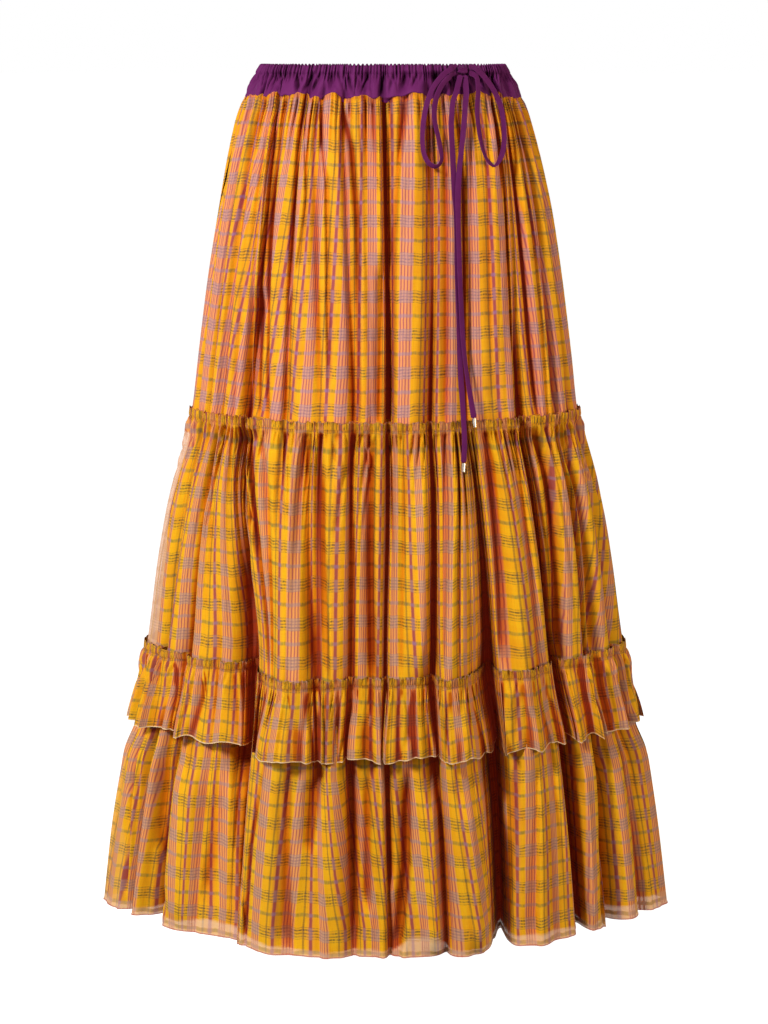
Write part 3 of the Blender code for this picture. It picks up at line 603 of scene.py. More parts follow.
# Edges that turn in behind the check: least distance in from the crest, rise, and way beyond the seam.
TURNED_UNDER = ((0.009, -0.0012, 0.009), (0.011, -0.0050, 0.014))
CASING_DYES = ((0.115, 0.012, 0.090, 1), (0.160, 0.020, 0.130, 1))
# Painted highlight for the crests of the gathers, and painted shade for their hollows.
CASING_CREST_HIGHLIGHT = (0.200, 0.034, 0.170, 1)
CASING_HOLLOW_SHADE = (0.018, 0.001, 0.008, 1)
CASING_STITCH = (0.018, 0.001, 0.020, 1)


def curved_between(levels, rows, heights):
    """Values given in rows at falling levels, read off along a smooth curve (cubic Hermite) whose slope at a
    level is the harmonic mean of those beside it, or 0 where they turn, so that it never overshoots."""
    place, wanted = -levels, np.clip(-heights.ravel(), -levels[0], -levels[-1])
    step = np.diff(place)
    slope = np.diff(rows, axis=1) / step
    before, after = slope[:, :-1], slope[:, 1:]
    same = before * after > 0
    harmonic = np.where(same, 2 * before * after / np.where(same, before + after, 1), 0)
    lean = np.concatenate([slope[:, :1], harmonic, slope[:, -1:]], axis=1)
    at = np.clip(np.searchsorted(place, wanted) - 1, 0, len(step) - 1)
    t = (wanted - place[at]) / step[at]
    start, end = rows[:, at], rows[:, at + 1]
    made = start + (end - start) * t * t * (3 - 2 * t)
    made = made + step[at] * t * (1 - t) * ((1 - t) * lean[:, at] - t * lean[:, at + 1])
    return made.T


def degrees_from_folds(columns):
    """How far each column is from each fold, the short way round."""
    half_turn = FULL_TURN / 2
    return (columns[:, None] - FOLD_COLUMNS + half_turn) % FULL_TURN - half_turn


def fold_depth(columns, heights, narrow=1.0):
    """How far the main folds take the cloth in from its crest: a sum of bells with two unequal sides. In a
    fold, though not on a ridge, part of each bell is much narrower, which makes its valley sharp."""
    away = degrees_from_folds(columns)
    deep = curved_between(FOLD_LEVELS, FOLDS[:, 4:11], heights)[:, None, :]
    left = curved_between(WIDTH_LEVELS, FOLDS[:, 11:13], heights)[:, None, :]
    right = curved_between(WIDTH_LEVELS, FOLDS[:, 13:15], heights)[:, None, :]
    spread = (away / (np.where(away < 0, left, right) * narrow)) ** 2
    sharp = np.where(deep > 0, SHARP_SHARE, 0.0)
    bells = (1 - sharp) * np.exp(-spread) + SHARPER * sharp * np.exp(-spread / SHARP_WIDTH**2)
    return (deep * bells).sum(axis=2)


def crest_ring(columns, heights):
    """Points of the crest, and the direction in which folds stand out from it: outward at the sides, and
    straight to the front or back elsewhere, shared out by a power of the sine of the angle."""
    drifts = [
        np.interp(columns, FOLD_COLUMNS, angles - FOLD_COLUMNS, period=FULL_TURN) for angles in FOLD_ANGLES.T
    ]
    angle = np.radians(columns + curved_between(ANGLE_LEVELS, np.array(drifts).T, heights))
    sizes = curved_between(SECTIONS[:, 0], SECTIONS[:, 1:].T, heights)
    ring, run = ring_at(angle, sizes)
    straight = np.stack([np.zeros_like(angle), -np.sign(np.cos(angle))], axis=-1)
    square = np.stack([run[..., 1], -run[..., 0]], axis=-1)
    share = np.sin(angle)[..., None] ** STRAIGHT_POWER
    out = share * square + (1 - share) * straight
    return ring, out / np.linalg.norm(out, axis=-1, keepdims=True)


def skin_of(columns, heights, offset, raised=0.0):
    """The points of a skin: the crest moved out by offset, each point raised by raised."""
    ring, out = crest_ring(columns, heights)
    plan = ring + offset[..., None] * out
    level = np.broadcast_to(heights, plan.shape[:2]) + raised
    return np.concatenate([plan, level[..., None]], axis=-1)


def rise(value, start, end):
    """0 before start and 1 after end, with a smooth step between them."""
    share = np.clip((value - start) / (end - start), 0, 1)
    return share * share * (3 - 2 * share)


def bell(away, width):
    """1 where away is 0, falling off to either side: e to the power of minus (away over width) squared."""
    return np.exp(-((away / width) ** 2))


def at_sides(columns, power):
    """0 in front and behind, and 1 at the right side: a power of the sine of the column's angle."""
    return np.sin(np.radians(columns)) ** power


def mirrored(columns):
    """Columns behind are given as those in front of them."""
    return np.where(columns > 90, 180 - columns, columns)


def strung_rows(*parts):
    """Heights from the top down: each part is a start, an end and a count of steps."""
    runs = [np.linspace(start, end, steps + 1)[:-1] for start, end, steps in parts]
    return np.concatenate(runs + [[parts[-1][1]]])[:, None]


def folded_length(start, end, level):
    """Fine columns from start to end, and the length of folded cloth to each at this height."""
    fine = np.linspace(start, end, 6001)
    heights = np.array([[level]])
    return fine, length_to_each(skin_of(fine, heights, -fold_depth(fine, heights))[0])


def even_columns(start, end, count, level):
    """Columns from start to end that lie the same length of folded cloth apart at this height, and the
    length of cloth from the first to each."""
    fine, length = folded_length(start, end, level)
    wanted = np.linspace(0, length[-1], count)
    return np.interp(wanted, length, fine), wanted


def uneven_gathers(along, drop, seed, sizes):
    """Gathers of several sizes, added up. Each is a dip of its own: a power of a sine across it, whose place,
    depth and reach down the cloth are uneven. Drop is how far below the seam a row is."""
    turn = 2 * np.pi
    below = np.maximum(drop, 0)
    total = 0
    for pitch, depth, reach, step, rest, slant, sharp in sizes:
        own = seed + step
        rng = np.random.default_rng(own)
        place = along + slant * below * np.sin(turn * along / (pitch * 7.3) + own)
        place = place / pitch + 0.20 * np.sin(turn * place / (pitch * 3.7) + 1.3 * own)
        place = place + 0.10 * np.sin(turn * place / 1.9 + own)
        place = place - place.min()
        cell = np.floor(place).astype(int)
        dip = np.sin(np.pi * (place - cell)) ** sharp
        deep = rng.uniform(*DIP_DEPTHS, cell.max() + 1)[cell]
        far = reach * rng.uniform(*DIP_REACHES, cell.max() + 1)[cell]
        total = total + depth * deep * dip * (rest + (1 - rest) * bell(below, far))
    return total


def cloth_piece(name, points, across, down, material, closed=False, **shares):
    """An object from a grid of points, rows from the top down, whose map is across and down and whose shares
    are kept as attributes. A closed one's last column is its first again."""
    rows, columns = shape = points.shape[:2]
    flat = spots = np.arange(rows * columns).reshape(shape)
    kept = columns - 1 if closed else columns
    if closed:
        spots = np.arange(rows * kept).reshape(rows, kept)
        spots = np.concatenate([spots, spots[:, :1]], axis=1)
    corners = (np.s_[:-1, :-1], np.s_[1:, :-1], np.s_[1:, 1:], np.s_[:-1, 1:])
    faces = np.stack([spots[corner] for corner in corners], axis=-1).reshape(-1, 4)
    made = new_piece(name, points[:, :kept], faces, material)
    place = np.stack([np.broadcast_to(across, shape), np.broadcast_to(down, shape)], axis=-1).reshape(-1, 2)
    uv_map(made, place[np.stack([flat[corner] for corner in corners], axis=-1).ravel()])
    for key, value in shares.items():
        layer = made.data.attributes.new(key, "FLOAT", "POINT")
        value = np.broadcast_to(value, shape)[:, :kept]
        layer.data.foreach_set("value", np.ascontiguousarray(value, np.float32).ravel())
    return made


def seam_push(columns):
    """How far the gathers of the check push the waistband's lower edge up: hills and dips listed one by one,
    the same behind as in front, with fine uneven waves on them."""
    angle = np.radians(columns)
    spots, pushes = np.array(SEAM_HILLS).T
    hills = 0.001 * sum(np.interp(mirrored(columns) + shift, spots, pushes) for shift in (-0.5, 0.0, 0.5)) / 3
    return hills + 0.0004 * (np.sin(61 * angle + 0.2) + np.sin(97 * angle + 1.1))


def hollow(offset, reach, closed=False):
    """How far each point lies inside the mean of its row within reach columns to either side."""
    padded = np.pad(offset, ((0, 0), (reach, reach)), mode="wrap" if closed else "reflect")
    total = np.pad(np.cumsum(padded, axis=1), ((0, 0), (1, 0)))
    span = 2 * reach + 1
    return (total[:, span:] - total[:, :-span]) / span - offset


def right_side(columns):
    """How far the waist lies in from its crest at the right side: a smooth step in the sine of the angle."""
    return WAIST_RIGHT_IN * rise(at_sides(columns, 1), 0.7, 1.0)


def share_named(start, name):
    """The share that a piece keeps under this name."""
    return start.node("ShaderNodeAttribute", {"attribute_name": name}, output=2)


def plain_cotton():
    """Plain dark purple cotton of the casing, with a painted highlight on its crests and painted shade in its
    hollows, and a fine slubby weave.
    """
    made, shader, start = new_material("plain_cotton", 0.62, sheen=0.04)
    slub = noise(cloth_place(start), 1.0, 2.0, (900.0, 160.0))
    dye = slub.mixed(*CASING_DYES)
    # Painted highlight on the crests of the gathers.
    dye = (share_named(start, "crest") * 0.25).mixed(dye, CASING_CREST_HIGHLIGHT)
    # Painted shade in the hollows of the gathers.
    dye = share_named(start, "sunk").mixed(dye, CASING_HOLLOW_SHADE)
    dye = (share_named(start, "stitch") * 0.12).mixed(dye, CASING_STITCH)
    wired(shader, "Base Color", dye)
    embossed(shader, 0.35, 0.0003, slub)
    return made


def dress(piece, node):
    """Says what a piece of cloth rides on and stands for."""
    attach(piece, "root")
    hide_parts(node)


columns, along = even_columns(-90.0, 270.0, 1401, WAIST_SEAM)
heights = strung_rows((WAIST_TOP, CHANNEL, 8), (CHANNEL, WAIST_SEAM, 23))
below = CHANNEL - heights
# In the channel: fine gathers and a puff between the edge and the stitching.
in_channel = 1 - rise(below, 0.0, 0.012)
frill = uneven_gathers(along, below, CASING_SEED, CHANNEL_GATHERS) * in_channel
puff = 0.0011 * np.sin(np.pi * np.clip(heights / CHANNEL, 0, 1))
stitched = bell(below, 0.0007)
# Below it: folds that open out, and those that the ribbon draws up.
drawn = sum(depth * bell(columns - spot, half) for spot, depth, half in DRAWN_UP)
opened = uneven_gathers(along, below, CASING_SEED, OPENED_GATHERS) * (1 - 0.6 * rise(below, 0.012, 0.0218))
opened = (opened + drawn) * rise(below, -0.004, 0.006)
folds = fold_depth(columns, np.full_like(heights, WAIST_SEAM)) * rise(below, 0.0, 0.02)
offset = GAP + puff - frill - opened - 0.0003 * stitched - folds
offset += PUSHED_OUT * seam_push(columns) * rise(below, 0.008, 0.020)
offset -= WAIST_SIDES_IN * rise(heights, -0.022, 0.0) * at_sides(columns, 4) + right_side(columns)
raised = seam_push(columns) * rise(below, 0.004, 0.022)
ripple = 0.0010 * np.sin(2 * np.pi * along / 0.0046 + 2 * np.sin(along / 0.02))
raised = raised + ripple * rise(heights, -0.004, 0.0)
skins = [
    skin_of(columns, heights[:1], offset[:1] - inward, lift + rippled * raised[:1])
    for inward, lift, _, rippled in TURNED_OVER
]
skins.append(skin_of(columns, heights, offset, raised))
for least, lift, _ in TURNED_UNDER:
    inner = np.minimum(offset[-1:] - 0.004, -least)
    skins.append(skin_of(columns, heights[-1:], inner, raised[-1:] + lift))
casing_points = np.concatenate(skins)
casing_points[:, -1] = casing_points[:, 0]
# Painted highlight: lighter where the channel's and the opened gathers do not dip.
crest = 1 - np.clip((frill / 0.0024 + opened / 0.003) * 1.2, 0, 1)
# Painted shade: darker in the hollows of the gathers and where the ribbon draws them up under the bow.
sunk = np.maximum(rise(hollow(offset, 7, True), 0.0, 0.0026), rise(hollow(offset, 3, True), 0.0, 0.0009))
sunk = np.maximum(sunk, np.minimum(drawn / 0.008, 1) * rise(below, -0.004, 0.003))
over = [way for _, _, way, _ in TURNED_OVER]
under = [way - WAIST_SEAM for *_, way in TURNED_UNDER]
extra = ((len(TURNED_OVER), len(TURNED_UNDER)), (0, 0))
casing = cloth_piece(
    "casing",
    casing_points,
    along,
    np.concatenate([over, -heights.ravel(), under])[:, None],
    plain_cotton(),
    closed=True,
    crest=np.pad(crest, extra),
    sunk=0.85 * np.pad(sunk, extra),
    stitch=np.pad(stitched, extra),
)
dress(casing, "waistband")


# ---------------------------------------------------------------------------------------------------------
# Checked cloth: thin crinkled cotton voile, yarn-dyed in a common check. Down the cloth run a pink band with
# four darker lines, an olive line and a purple line; across it run one grey-green band and four thin lines.

WARP_REPEAT = 0.0390
WEFT_REPEAT = 0.0372
YELLOW = (0.870, 0.440, 0.013, 1)
YELLOW_SLUB = (0.820, 0.330, 0.012, 1)
PINK = (0.820, 0.310, 0.135, 1)
PINK_LINE = (0.360, 0.065, 0.120, 1)
BLUSH = (0.800, 0.250, 0.060, 1)
OLIVE_LINE = (0.240, 0.120, 0.030, 1)
PURPLE_LINE = (0.300, 0.040, 0.095, 1)
# Multipliers for the ground where yarns cross it, and the colours of their squares on the pink band.
GREEN_CROSS = (0.42, 0.60, 3.6, 1)
LINE_CROSS = (0.22, 0.31, 1.7, 1)
GROUP_GROUND = (0.88, 0.92, 2.0, 1)
MAUVE_SQUARE = (0.460, 0.290, 0.300, 1)
MAUVE_LINE = (0.200, 0.120, 0.180, 1)
BLUE_SQUARE = (0.330, 0.230, 0.320, 1)
PEACH = (0.740, 0.440, 0.270, 1)
PEACH_SHARE = 0.78
# Painted shade: dark flecks between the tight gathers of a heading.
FLECK_SHADE = (0.110, 0.060, 0.035, 1)
# Painted shade: multipliers for cloth in a shallow hollow and at the bottom of a deep one, and a painted glow
# for the bottom of the deepest.
SHADED_CLOTH = (0.86, 0.50, 0.36, 1)
DEEP_FOLD_SHADE = (0.36, 0.110, 0.080, 1)
PAINTED_FOLD_GLOW = (0.045, 0.0030, 0.0008, 1)
BLACK = (0.0, 0.0, 0.0, 1)
# Stripes of the check, in repeats: middle, half width, and the way over which the edge fades.
BLUSH_STRIPE = (0.60, 0.095, 0.08)
PINK_STRIPE = (0.0, 0.160, 0.03)
OLIVE_STRIPE = (0.41, 0.026, 0.03)
PURPLE_STRIPE = (0.60, 0.044, 0.03)
GREEN_STRIPE = (0.5, 0.046, 0.04)
GROUP_STRIPE = (0.0, 0.160, 0.03)
# Fine lines: how many to a repeat of the check, and their stripe in repeats of their own.
PINK_LINES = 13.0
PINK_LINES_STRIPE = (0.5, 0.17, 0.26)
THIN_LINES = 12.0
THIN_LINES_STRIPE = (0.0, 0.25, 0.25)
THREAD_FADE = 0.0006
CHART_BEYOND = (-0.25, 1.1)  # where a chart is carried on to above and below, as shares of its own height
# Shares of a crease's length over which it fades in and out.
CREASE_IN = (-0.15, 0.12)
CREASE_OUT = (0.88, 1.15)


def stripe(across, middle, half, soft):
    """1 within half of middle, measured in repeats the short way round, fading over soft."""
    away = ((across - (middle - 0.5)).math("FRACT") - 0.5).math("ABSOLUTE")
    return ((half - away) / soft).math("ADD", 0.5, clamp=True)


def checked_voile(name, behind, edge_colour, edge_width):
    """Voile whose check follows the cloth map, tinted by the cloth behind it. Cover is its alpha, deep is how
    far in a fold it lies and darkens it there as painted shade, with a painted glow in the deepest, tight
    lays painted dark flecks of shade in a heading, and hem is the distance from its rolled edge, which has a
    thread of its own."""
    made, shader, start = new_material(name, 0.78, sheen=0.02)
    place = cloth_place(start)
    waver = noise(place, 3.4, 2.0) - 0.5
    across = part_of(place, 0) + waver * 0.024
    down = part_of(place, 1) + waver * 0.07
    slub = noise(place, 1.0, 2.0, (46.0, 2.2)) * 0.6 + noise(place, 1.0, 2.0, (2.2, 46.0)) * 0.4
    thin = (slub - 0.38).math("MULTIPLY", 3.2, clamp=True)

    # The warp: yellow ground, a blush, the pink band with its lines, an olive line and a purple line.
    dye = thin.mixed(YELLOW, YELLOW_SLUB)
    dye = (noise(place, 1.3, 1.0) - 0.42).math("MULTIPLY", 3.0, clamp=True).mixed(dye, YELLOW_SLUB)
    dye = (stripe(across, *BLUSH_STRIPE) * 0.45).mixed(dye, BLUSH)
    band = stripe(across, *PINK_STRIPE)
    dye = (band * (0.80 + 0.2 * thin)).mixed(dye, PINK)
    lines = stripe(across * PINK_LINES, *PINK_LINES_STRIPE)
    dye = (band * lines * 0.86).mixed(dye, PINK_LINE)
    dye = (stripe(across, *OLIVE_STRIPE) * (0.50 + 0.4 * thin)).mixed(dye, OLIVE_LINE)
    purple = stripe(across, *PURPLE_STRIPE)
    dye = (purple * 0.85).mixed(dye, PURPLE_LINE)

    # The weft: a green band and a group of thin broken lines, which look different where they cross the pink.
    plain = (1 - band) * (1 - 0.8 * purple)
    single = stripe(down, *GREEN_STRIPE)
    group = stripe(down, *GROUP_STRIPE)
    thin_lines = stripe(down * THIN_LINES, *THIN_LINES_STRIPE)
    broken = noise(place, 1.0, 1.0, (24.0, 5.0)).math("SUBTRACT", 0.36, clamp=True) * 3.0
    broken = 0.30 + 0.70 * broken.math("MINIMUM", 1.0)
    dye = (group * plain * 0.6).mixed(dye, GROUP_GROUND, "MULTIPLY")
    dye = (group * (1 - plain) * 0.55).mixed(dye, MAUVE_SQUARE)
    dye = (single * (1 - plain) * 0.55).mixed(dye, BLUE_SQUARE)
    dye = (single * plain * (0.35 + 0.65 * broken)).mixed(dye, GREEN_CROSS, "MULTIPLY")
    dye = (group * thin_lines * broken * plain).mixed(dye, LINE_CROSS, "MULTIPLY")
    dye = (group * thin_lines * broken * (1 - plain) * 0.65).mixed(dye, MAUVE_LINE)
    # Painted shade: dark flecks between the tight gathers, where the share tight says.
    shade_flecks = (noise(place, 1.0, 1.0, (52.0, 2.5)) - 0.50).math("MULTIPLY", 12.0, clamp=True)
    dye = (share_named(start, "tight") * shade_flecks * 0.80).mixed(dye, FLECK_SHADE)

    tinting = {"data_type": "RGBA", "blend_type": "MULTIPLY"}
    dye = start.node("ShaderNodeMix", tinting, {0: 1.0, 6: dye, 7: behind}, output=2)
    # Painted shade: darker in hollows and folds, by how deep they lie.
    deep = share_named(start, "deep")
    dye = (deep * 1.6).mixed(dye, SHADED_CLOTH, "MULTIPLY")
    dye = ((deep - 0.48) * 1.6).mixed(dye, DEEP_FOLD_SHADE, "MULTIPLY")
    # A painted glow, not a lamp, stands in for light that passes through thin cloth, so that the deepest
    # folds are dark red and not black.
    painted_glow = (deep - 0.55).math("MULTIPLY", 2.2, clamp=True)
    wired(shader, "Emission Color", painted_glow.mixed(BLACK, PAINTED_FOLD_GLOW))
    shader.inputs["Emission Strength"].default_value = 1.0
    cover = share_named(start, "cover")
    dye = ((1 - cover) * 4).math("MINIMUM", PEACH_SHARE).mixed(dye, PEACH)
    thread = ((edge_width - share_named(start, "hem")) / THREAD_FADE).math("ADD", 0.5, clamp=True)
    wired(shader, "Base Color", (thread * 0.8).mixed(dye, edge_colour))
    alpha = cover.math("MAXIMUM", thread * 0.85)
    alpha = alpha.math("MAXIMUM", cover + (band * lines + single + group * thin_lines) * 0.18)
    wired(shader, "Alpha", alpha.math("MINIMUM", 1.0))
    embossed(shader, 0.30, 0.0016, noise(place, 1.0, 3.0, (9.0, 1.4)) + slub * 0.35)
    return made


def cloth_along(columns, heights, level, chart):
    """Length of folded cloth from the middle to each column at this height, and repeats of the check for
    every point. The chart says, at an upper and a lower height, which repeat lies on which column. Between
    two of its columns the repeats are shared out by length of cloth, so that a deep fold gets its share."""
    fine, length = folded_length(columns[0], columns[-1], level)
    length -= np.interp(0.0 if columns[0] < 0 else 180.0, fine, length)
    along = np.interp(columns, fine, length)
    (upper, upper_rows), (lower, lower_rows) = chart
    counts = []
    for rows in (upper_rows, lower_rows):
        spots, numbers = np.array(rows).T
        marks = np.interp(spots, fine, length)
        beyond = np.minimum(along - marks[0], 0) + np.maximum(along - marks[-1], 0)
        counts.append(np.interp(along, marks, numbers) + beyond / WARP_REPEAT)
    share = np.clip((upper - heights) / (upper - lower), *CHART_BEYOND)
    return along, counts[0] + (counts[1] - counts[0]) * share


def wobble(along, heights, seed):
    """How far the weft wanders from level, in repeats: three uneven waves across, leaning with the height."""
    waves = np.sin(along / 0.0105 + 9 * heights + seed) * 0.017
    waves = waves + np.sin(along / 0.0052 + 2 * np.sin(along / 0.041) + 17 * heights + 2.3 * seed) * 0.009
    return waves + np.sin(along / 0.0023 + 3 * np.sin(along / 0.029 + seed)) * 0.007


def creases(columns, heights, rows):
    """Creases: each is a bell across the columns with a half width of its own to either side. Its
    middle passes through its places, columns and heights from the top down, and it fades in and out. One
    whose depth is below 0 is a ridge, which fills a part of a main fold."""
    made = 0
    for places, depth, left, right in rows:
        spots, levels = np.array(places).T
        away = columns - np.interp(-heights, -levels, spots)
        share = (levels[0] - heights) / (levels[0] - levels[-1])
        fades = rise(share, *CREASE_IN) * (1 - rise(share, *CREASE_OUT))
        made = made + depth * fades * bell(away, np.where(away < 0, left, right))
    return made


def shading(offset, folds, fine, broad):
    """How dark a hollow is, from 0 to 1: how far the cloth lies inside its neighbours within fine and within
    broad columns, and a little of how deep the main folds are."""
    near = rise(hollow(offset, fine), 0.0000, 0.0030)
    wide = rise(hollow(offset, broad), 0.0005, 0.0130)
    panel = rise(hollow(offset, 3 * broad), 0.0010, 0.0240)
    return np.clip(0.42 * near + 0.52 * wide + 0.32 * panel + 0.26 * rise(-folds, 0.003, 0.060), 0, 1)


OVER_NOTHING = (1.0, 1.0, 1.0, 1)
DARK_THREAD = (0.42, 0.09, 0.05, 1)
upper_cloth = checked_voile("upper_voile", OVER_NOTHING, DARK_THREAD, 0.0013)


# ---------------------------------------------------------------------------------------------------------
# Top tier: a front and a back panel of the check, gathered on to the waistband. The gathers open out into
# long soft folds, and its foot lies under the heading of the next tier.

SPANS = {"front": (-90.0, 90.0), "back": (90.0, 270.0)}
# Two heights, each with rows of column and repeat of the check.
PLAIN_CHART = ((-0.1, ((180.0, 0.0),)), (-0.8, ((180.0, 0.0),)))
TIER_1_CHART = {
    "front": (
        (
            -0.135,
            (
                (-69.5, -8), (-43.7, -6), (-18.5, -3), (-8.5, -2), (-2.3, -1), (6.5, 1), (27.0, 4),
                (38.1, 5), (47.8, 7), (63.0, 8),
            ),
        ),
        (
            -0.340,
            (
                (-71.5, -8), (-51.5, -6), (-32.7, -4), (-23.1, -3), (-12.7, -2), (-3.6, -1), (5.1, 1),
                (27.6, 4), (40.3, 5), (53.3, 7), (65.9, 8),
            ),
        ),
    ),
    "back": PLAIN_CHART,
}
# Creases: places as columns and heights, depth (a ridge's is below 0), and half widths to left and right.
TIER_1_CREASES = {
    "front": (
        (
            (
                (-44.4, -0.036), (-42.6, -0.085), (-41.8, -0.164), (-42.4, -0.216), (-43.4, -0.270),
                (-44.2, -0.355),
            ),
            0.015, 0.6, 3.2,
        ),
        (((-29.2, -0.033), (-24.8, -0.128), (-26.1, -0.174), (-29.6, -0.242), (-29.9, -0.347)),
         0.004, 0.5, 2.2),
        (((-30.0, -0.070), (-29.0, -0.140), (-29.5, -0.300)), -0.007, 2.0, 2.0),
        (((-39.4, -0.120), (-38.8, -0.180), (-37.2, -0.280), (-36.0, -0.352)), 0.018, 1.6, 0.8),
        (((-41.5, -0.235), (-40.5, -0.300), (-40.0, -0.352)), 0.020, 3.0, 2.4),
        (((-21.1, -0.033), (-16.1, -0.113), (-15.7, -0.174), (-16.0, -0.310)), 0.007, 0.5, 1.6),
        (((-10.1, -0.033), (-6.9, -0.083), (-5.9, -0.150), (-7.4, -0.348)), 0.012, 2.6, 0.5),
        (((-9.0, -0.045), (-6.9, -0.083), (-5.9, -0.160), (-6.2, -0.220)), 0.006, 1.0, 0.8),
        (((0.0, -0.200), (-0.8, -0.270), (-1.4, -0.352)), 0.015, 1.5, 0.6),
        (((1.5, -0.038), (1.6, -0.174), (0.5, -0.350)), 0.018, 0.5, 2.0),
        (((7.2, -0.036), (4.4, -0.105), (3.4, -0.182), (2.2, -0.350)), 0.010, 2.4, 0.5),
        (((12.6, -0.075), (13.7, -0.182), (13.8, -0.352)), 0.008, 1.6, 0.8),
        (((18.3, -0.070), (17.7, -0.200), (17.8, -0.352)), 0.013, 2.6, 0.7),
        (((35.0, -0.080), (34.0, -0.200), (34.0, -0.300)), -0.008, 6.0, 3.0),
        (((50.0, -0.070), (50.0, -0.180), (50.6, -0.280), (52.0, -0.352)), 0.016, 3.0, 1.2),
        (((40.1, -0.044), (38.9, -0.135), (39.8, -0.234), (44.8, -0.352)), 0.005, 0.8, 1.3),
        (((67.3, -0.061), (63.9, -0.197), (63.5, -0.350)), 0.006, 1.0, 1.8),
        (((-57.0, -0.048), (-57.8, -0.135), (-59.1, -0.246), (-59.8, -0.350)), 0.004, 1.0, 1.6),
        (((27.3, -0.054), (26.4, -0.154), (25.4, -0.263)), 0.005, 0.8, 1.2),
    ),
    "back": (
        (((112.0, -0.040), (114.0, -0.180), (118.0, -0.350)), 0.006, 0.8, 1.8),
        (((131.0, -0.036), (129.0, -0.140), (132.0, -0.350)), 0.010, 0.6, 2.4),
        (((146.0, -0.036), (148.0, -0.200), (147.0, -0.320)), 0.008, 2.2, 0.6),
        (((163.0, -0.040), (160.0, -0.150), (162.0, -0.350)), 0.012, 0.6, 2.4),
        (((177.0, -0.036), (176.0, -0.350)), 0.014, 0.5, 2.0),
        (((191.0, -0.050), (193.0, -0.250)), 0.007, 0.7, 1.8),
        (((206.0, -0.036), (204.0, -0.160), (203.0, -0.350)), 0.012, 2.4, 0.5),
        (((221.0, -0.040), (224.0, -0.200), (222.0, -0.350)), 0.008, 0.6, 2.0),
        (((239.0, -0.036), (236.0, -0.350)), 0.010, 0.6, 2.6),
        (((254.0, -0.060), (252.0, -0.350)), 0.005, 1.0, 1.8),
    ),
}
TIER_1_GATHERS = (
    (0.0068, 0.0038, 0.034, 3, 0.00, 0.05, 4.0),
    (0.0125, 0.0050, 0.060, 0, 0.00, 0.05, 4.0),
    (0.0230, 0.0056, 0.110, 1, 0.12, 0.10, 4.0),
    (0.0400, 0.0080, 0.200, 2, 0.50, 0.06, 5.0),
)
TIER_1_WEFT = -0.0427  # height of a group of thin lines
TUCK = 0.003  # of its top, behind the waistband
# Stretches of the grid's rows: start, end and steps. Then columns, seed of the gathers, and cut width.
TIER_1_ROWS = (
    (WAIST_SEAM + TUCK, WAIST_SEAM, 3),
    (WAIST_SEAM, -0.060, 20),
    (-0.060, -0.160, 26),
    (-0.160, UPPER_SEAM, 36),
)
TIER_1_SIZES = {"front": (760, 11, 0.78), "back": (400, 31, 0.74)}


def top_tier(side):
    """The crest less its main folds, its creases, and four sizes of gathers that fade at their own rates."""
    count, seed, cut = TIER_1_SIZES[side]
    columns, _ = even_columns(*SPANS[side], count, -0.300)
    heights = strung_rows(*TIER_1_ROWS)
    along, repeats = cloth_along(columns, heights, UPPER_SEAM, TIER_1_CHART[side])
    drop = WAIST_SEAM - heights
    folds = -fold_depth(columns, heights)
    gathers = uneven_gathers(along, drop, seed, TIER_1_GATHERS) * rise(drop, -0.004, 0.012)
    offset = folds - gathers - creases(columns, heights, TIER_1_CREASES[side])
    offset += (0.0016 * rise(drop, 0.0, 0.008) + PUSHED_OUT * seam_push(columns)) * bell(drop, 0.03)
    offset -= 0.0070 * rise(-drop, 0.0, TUCK) + right_side(columns) * (1 - rise(drop, 0.0, 0.13))
    raised = (seam_push(columns) - 0.0002) * (1 - rise(drop, 0.0, 0.02))
    down = (TIER_1_WEFT - heights) / WEFT_REPEAT + 0.10 * at_sides(columns, 2) + wobble(along, heights, seed)
    # Painted shade along the seam under the waistband, in the colour and as dark flecks.
    seam_shade = bell(drop, 0.004)
    piece = cloth_piece(
        f"top_tier_{side}",
        skin_of(columns, heights, offset, raised),
        repeats,
        down,
        upper_cloth,
        deep=np.clip(shading(offset, folds, count // 90, count // 32) + 0.3 * seam_shade, 0, 1),
        cover=1.0,
        hem=0.1,
        tight=0.7 * seam_shade,
    )
    dress(piece, f"tier_1_{side}")


for side in SPANS:
    top_tier(side)


# ---------------------------------------------------------------------------------------------------------
# Second tier: wider panels of the check, gathered with a standing heading over the foot of the top tier. The
# left edge hangs clear of the lining and is sheer there.

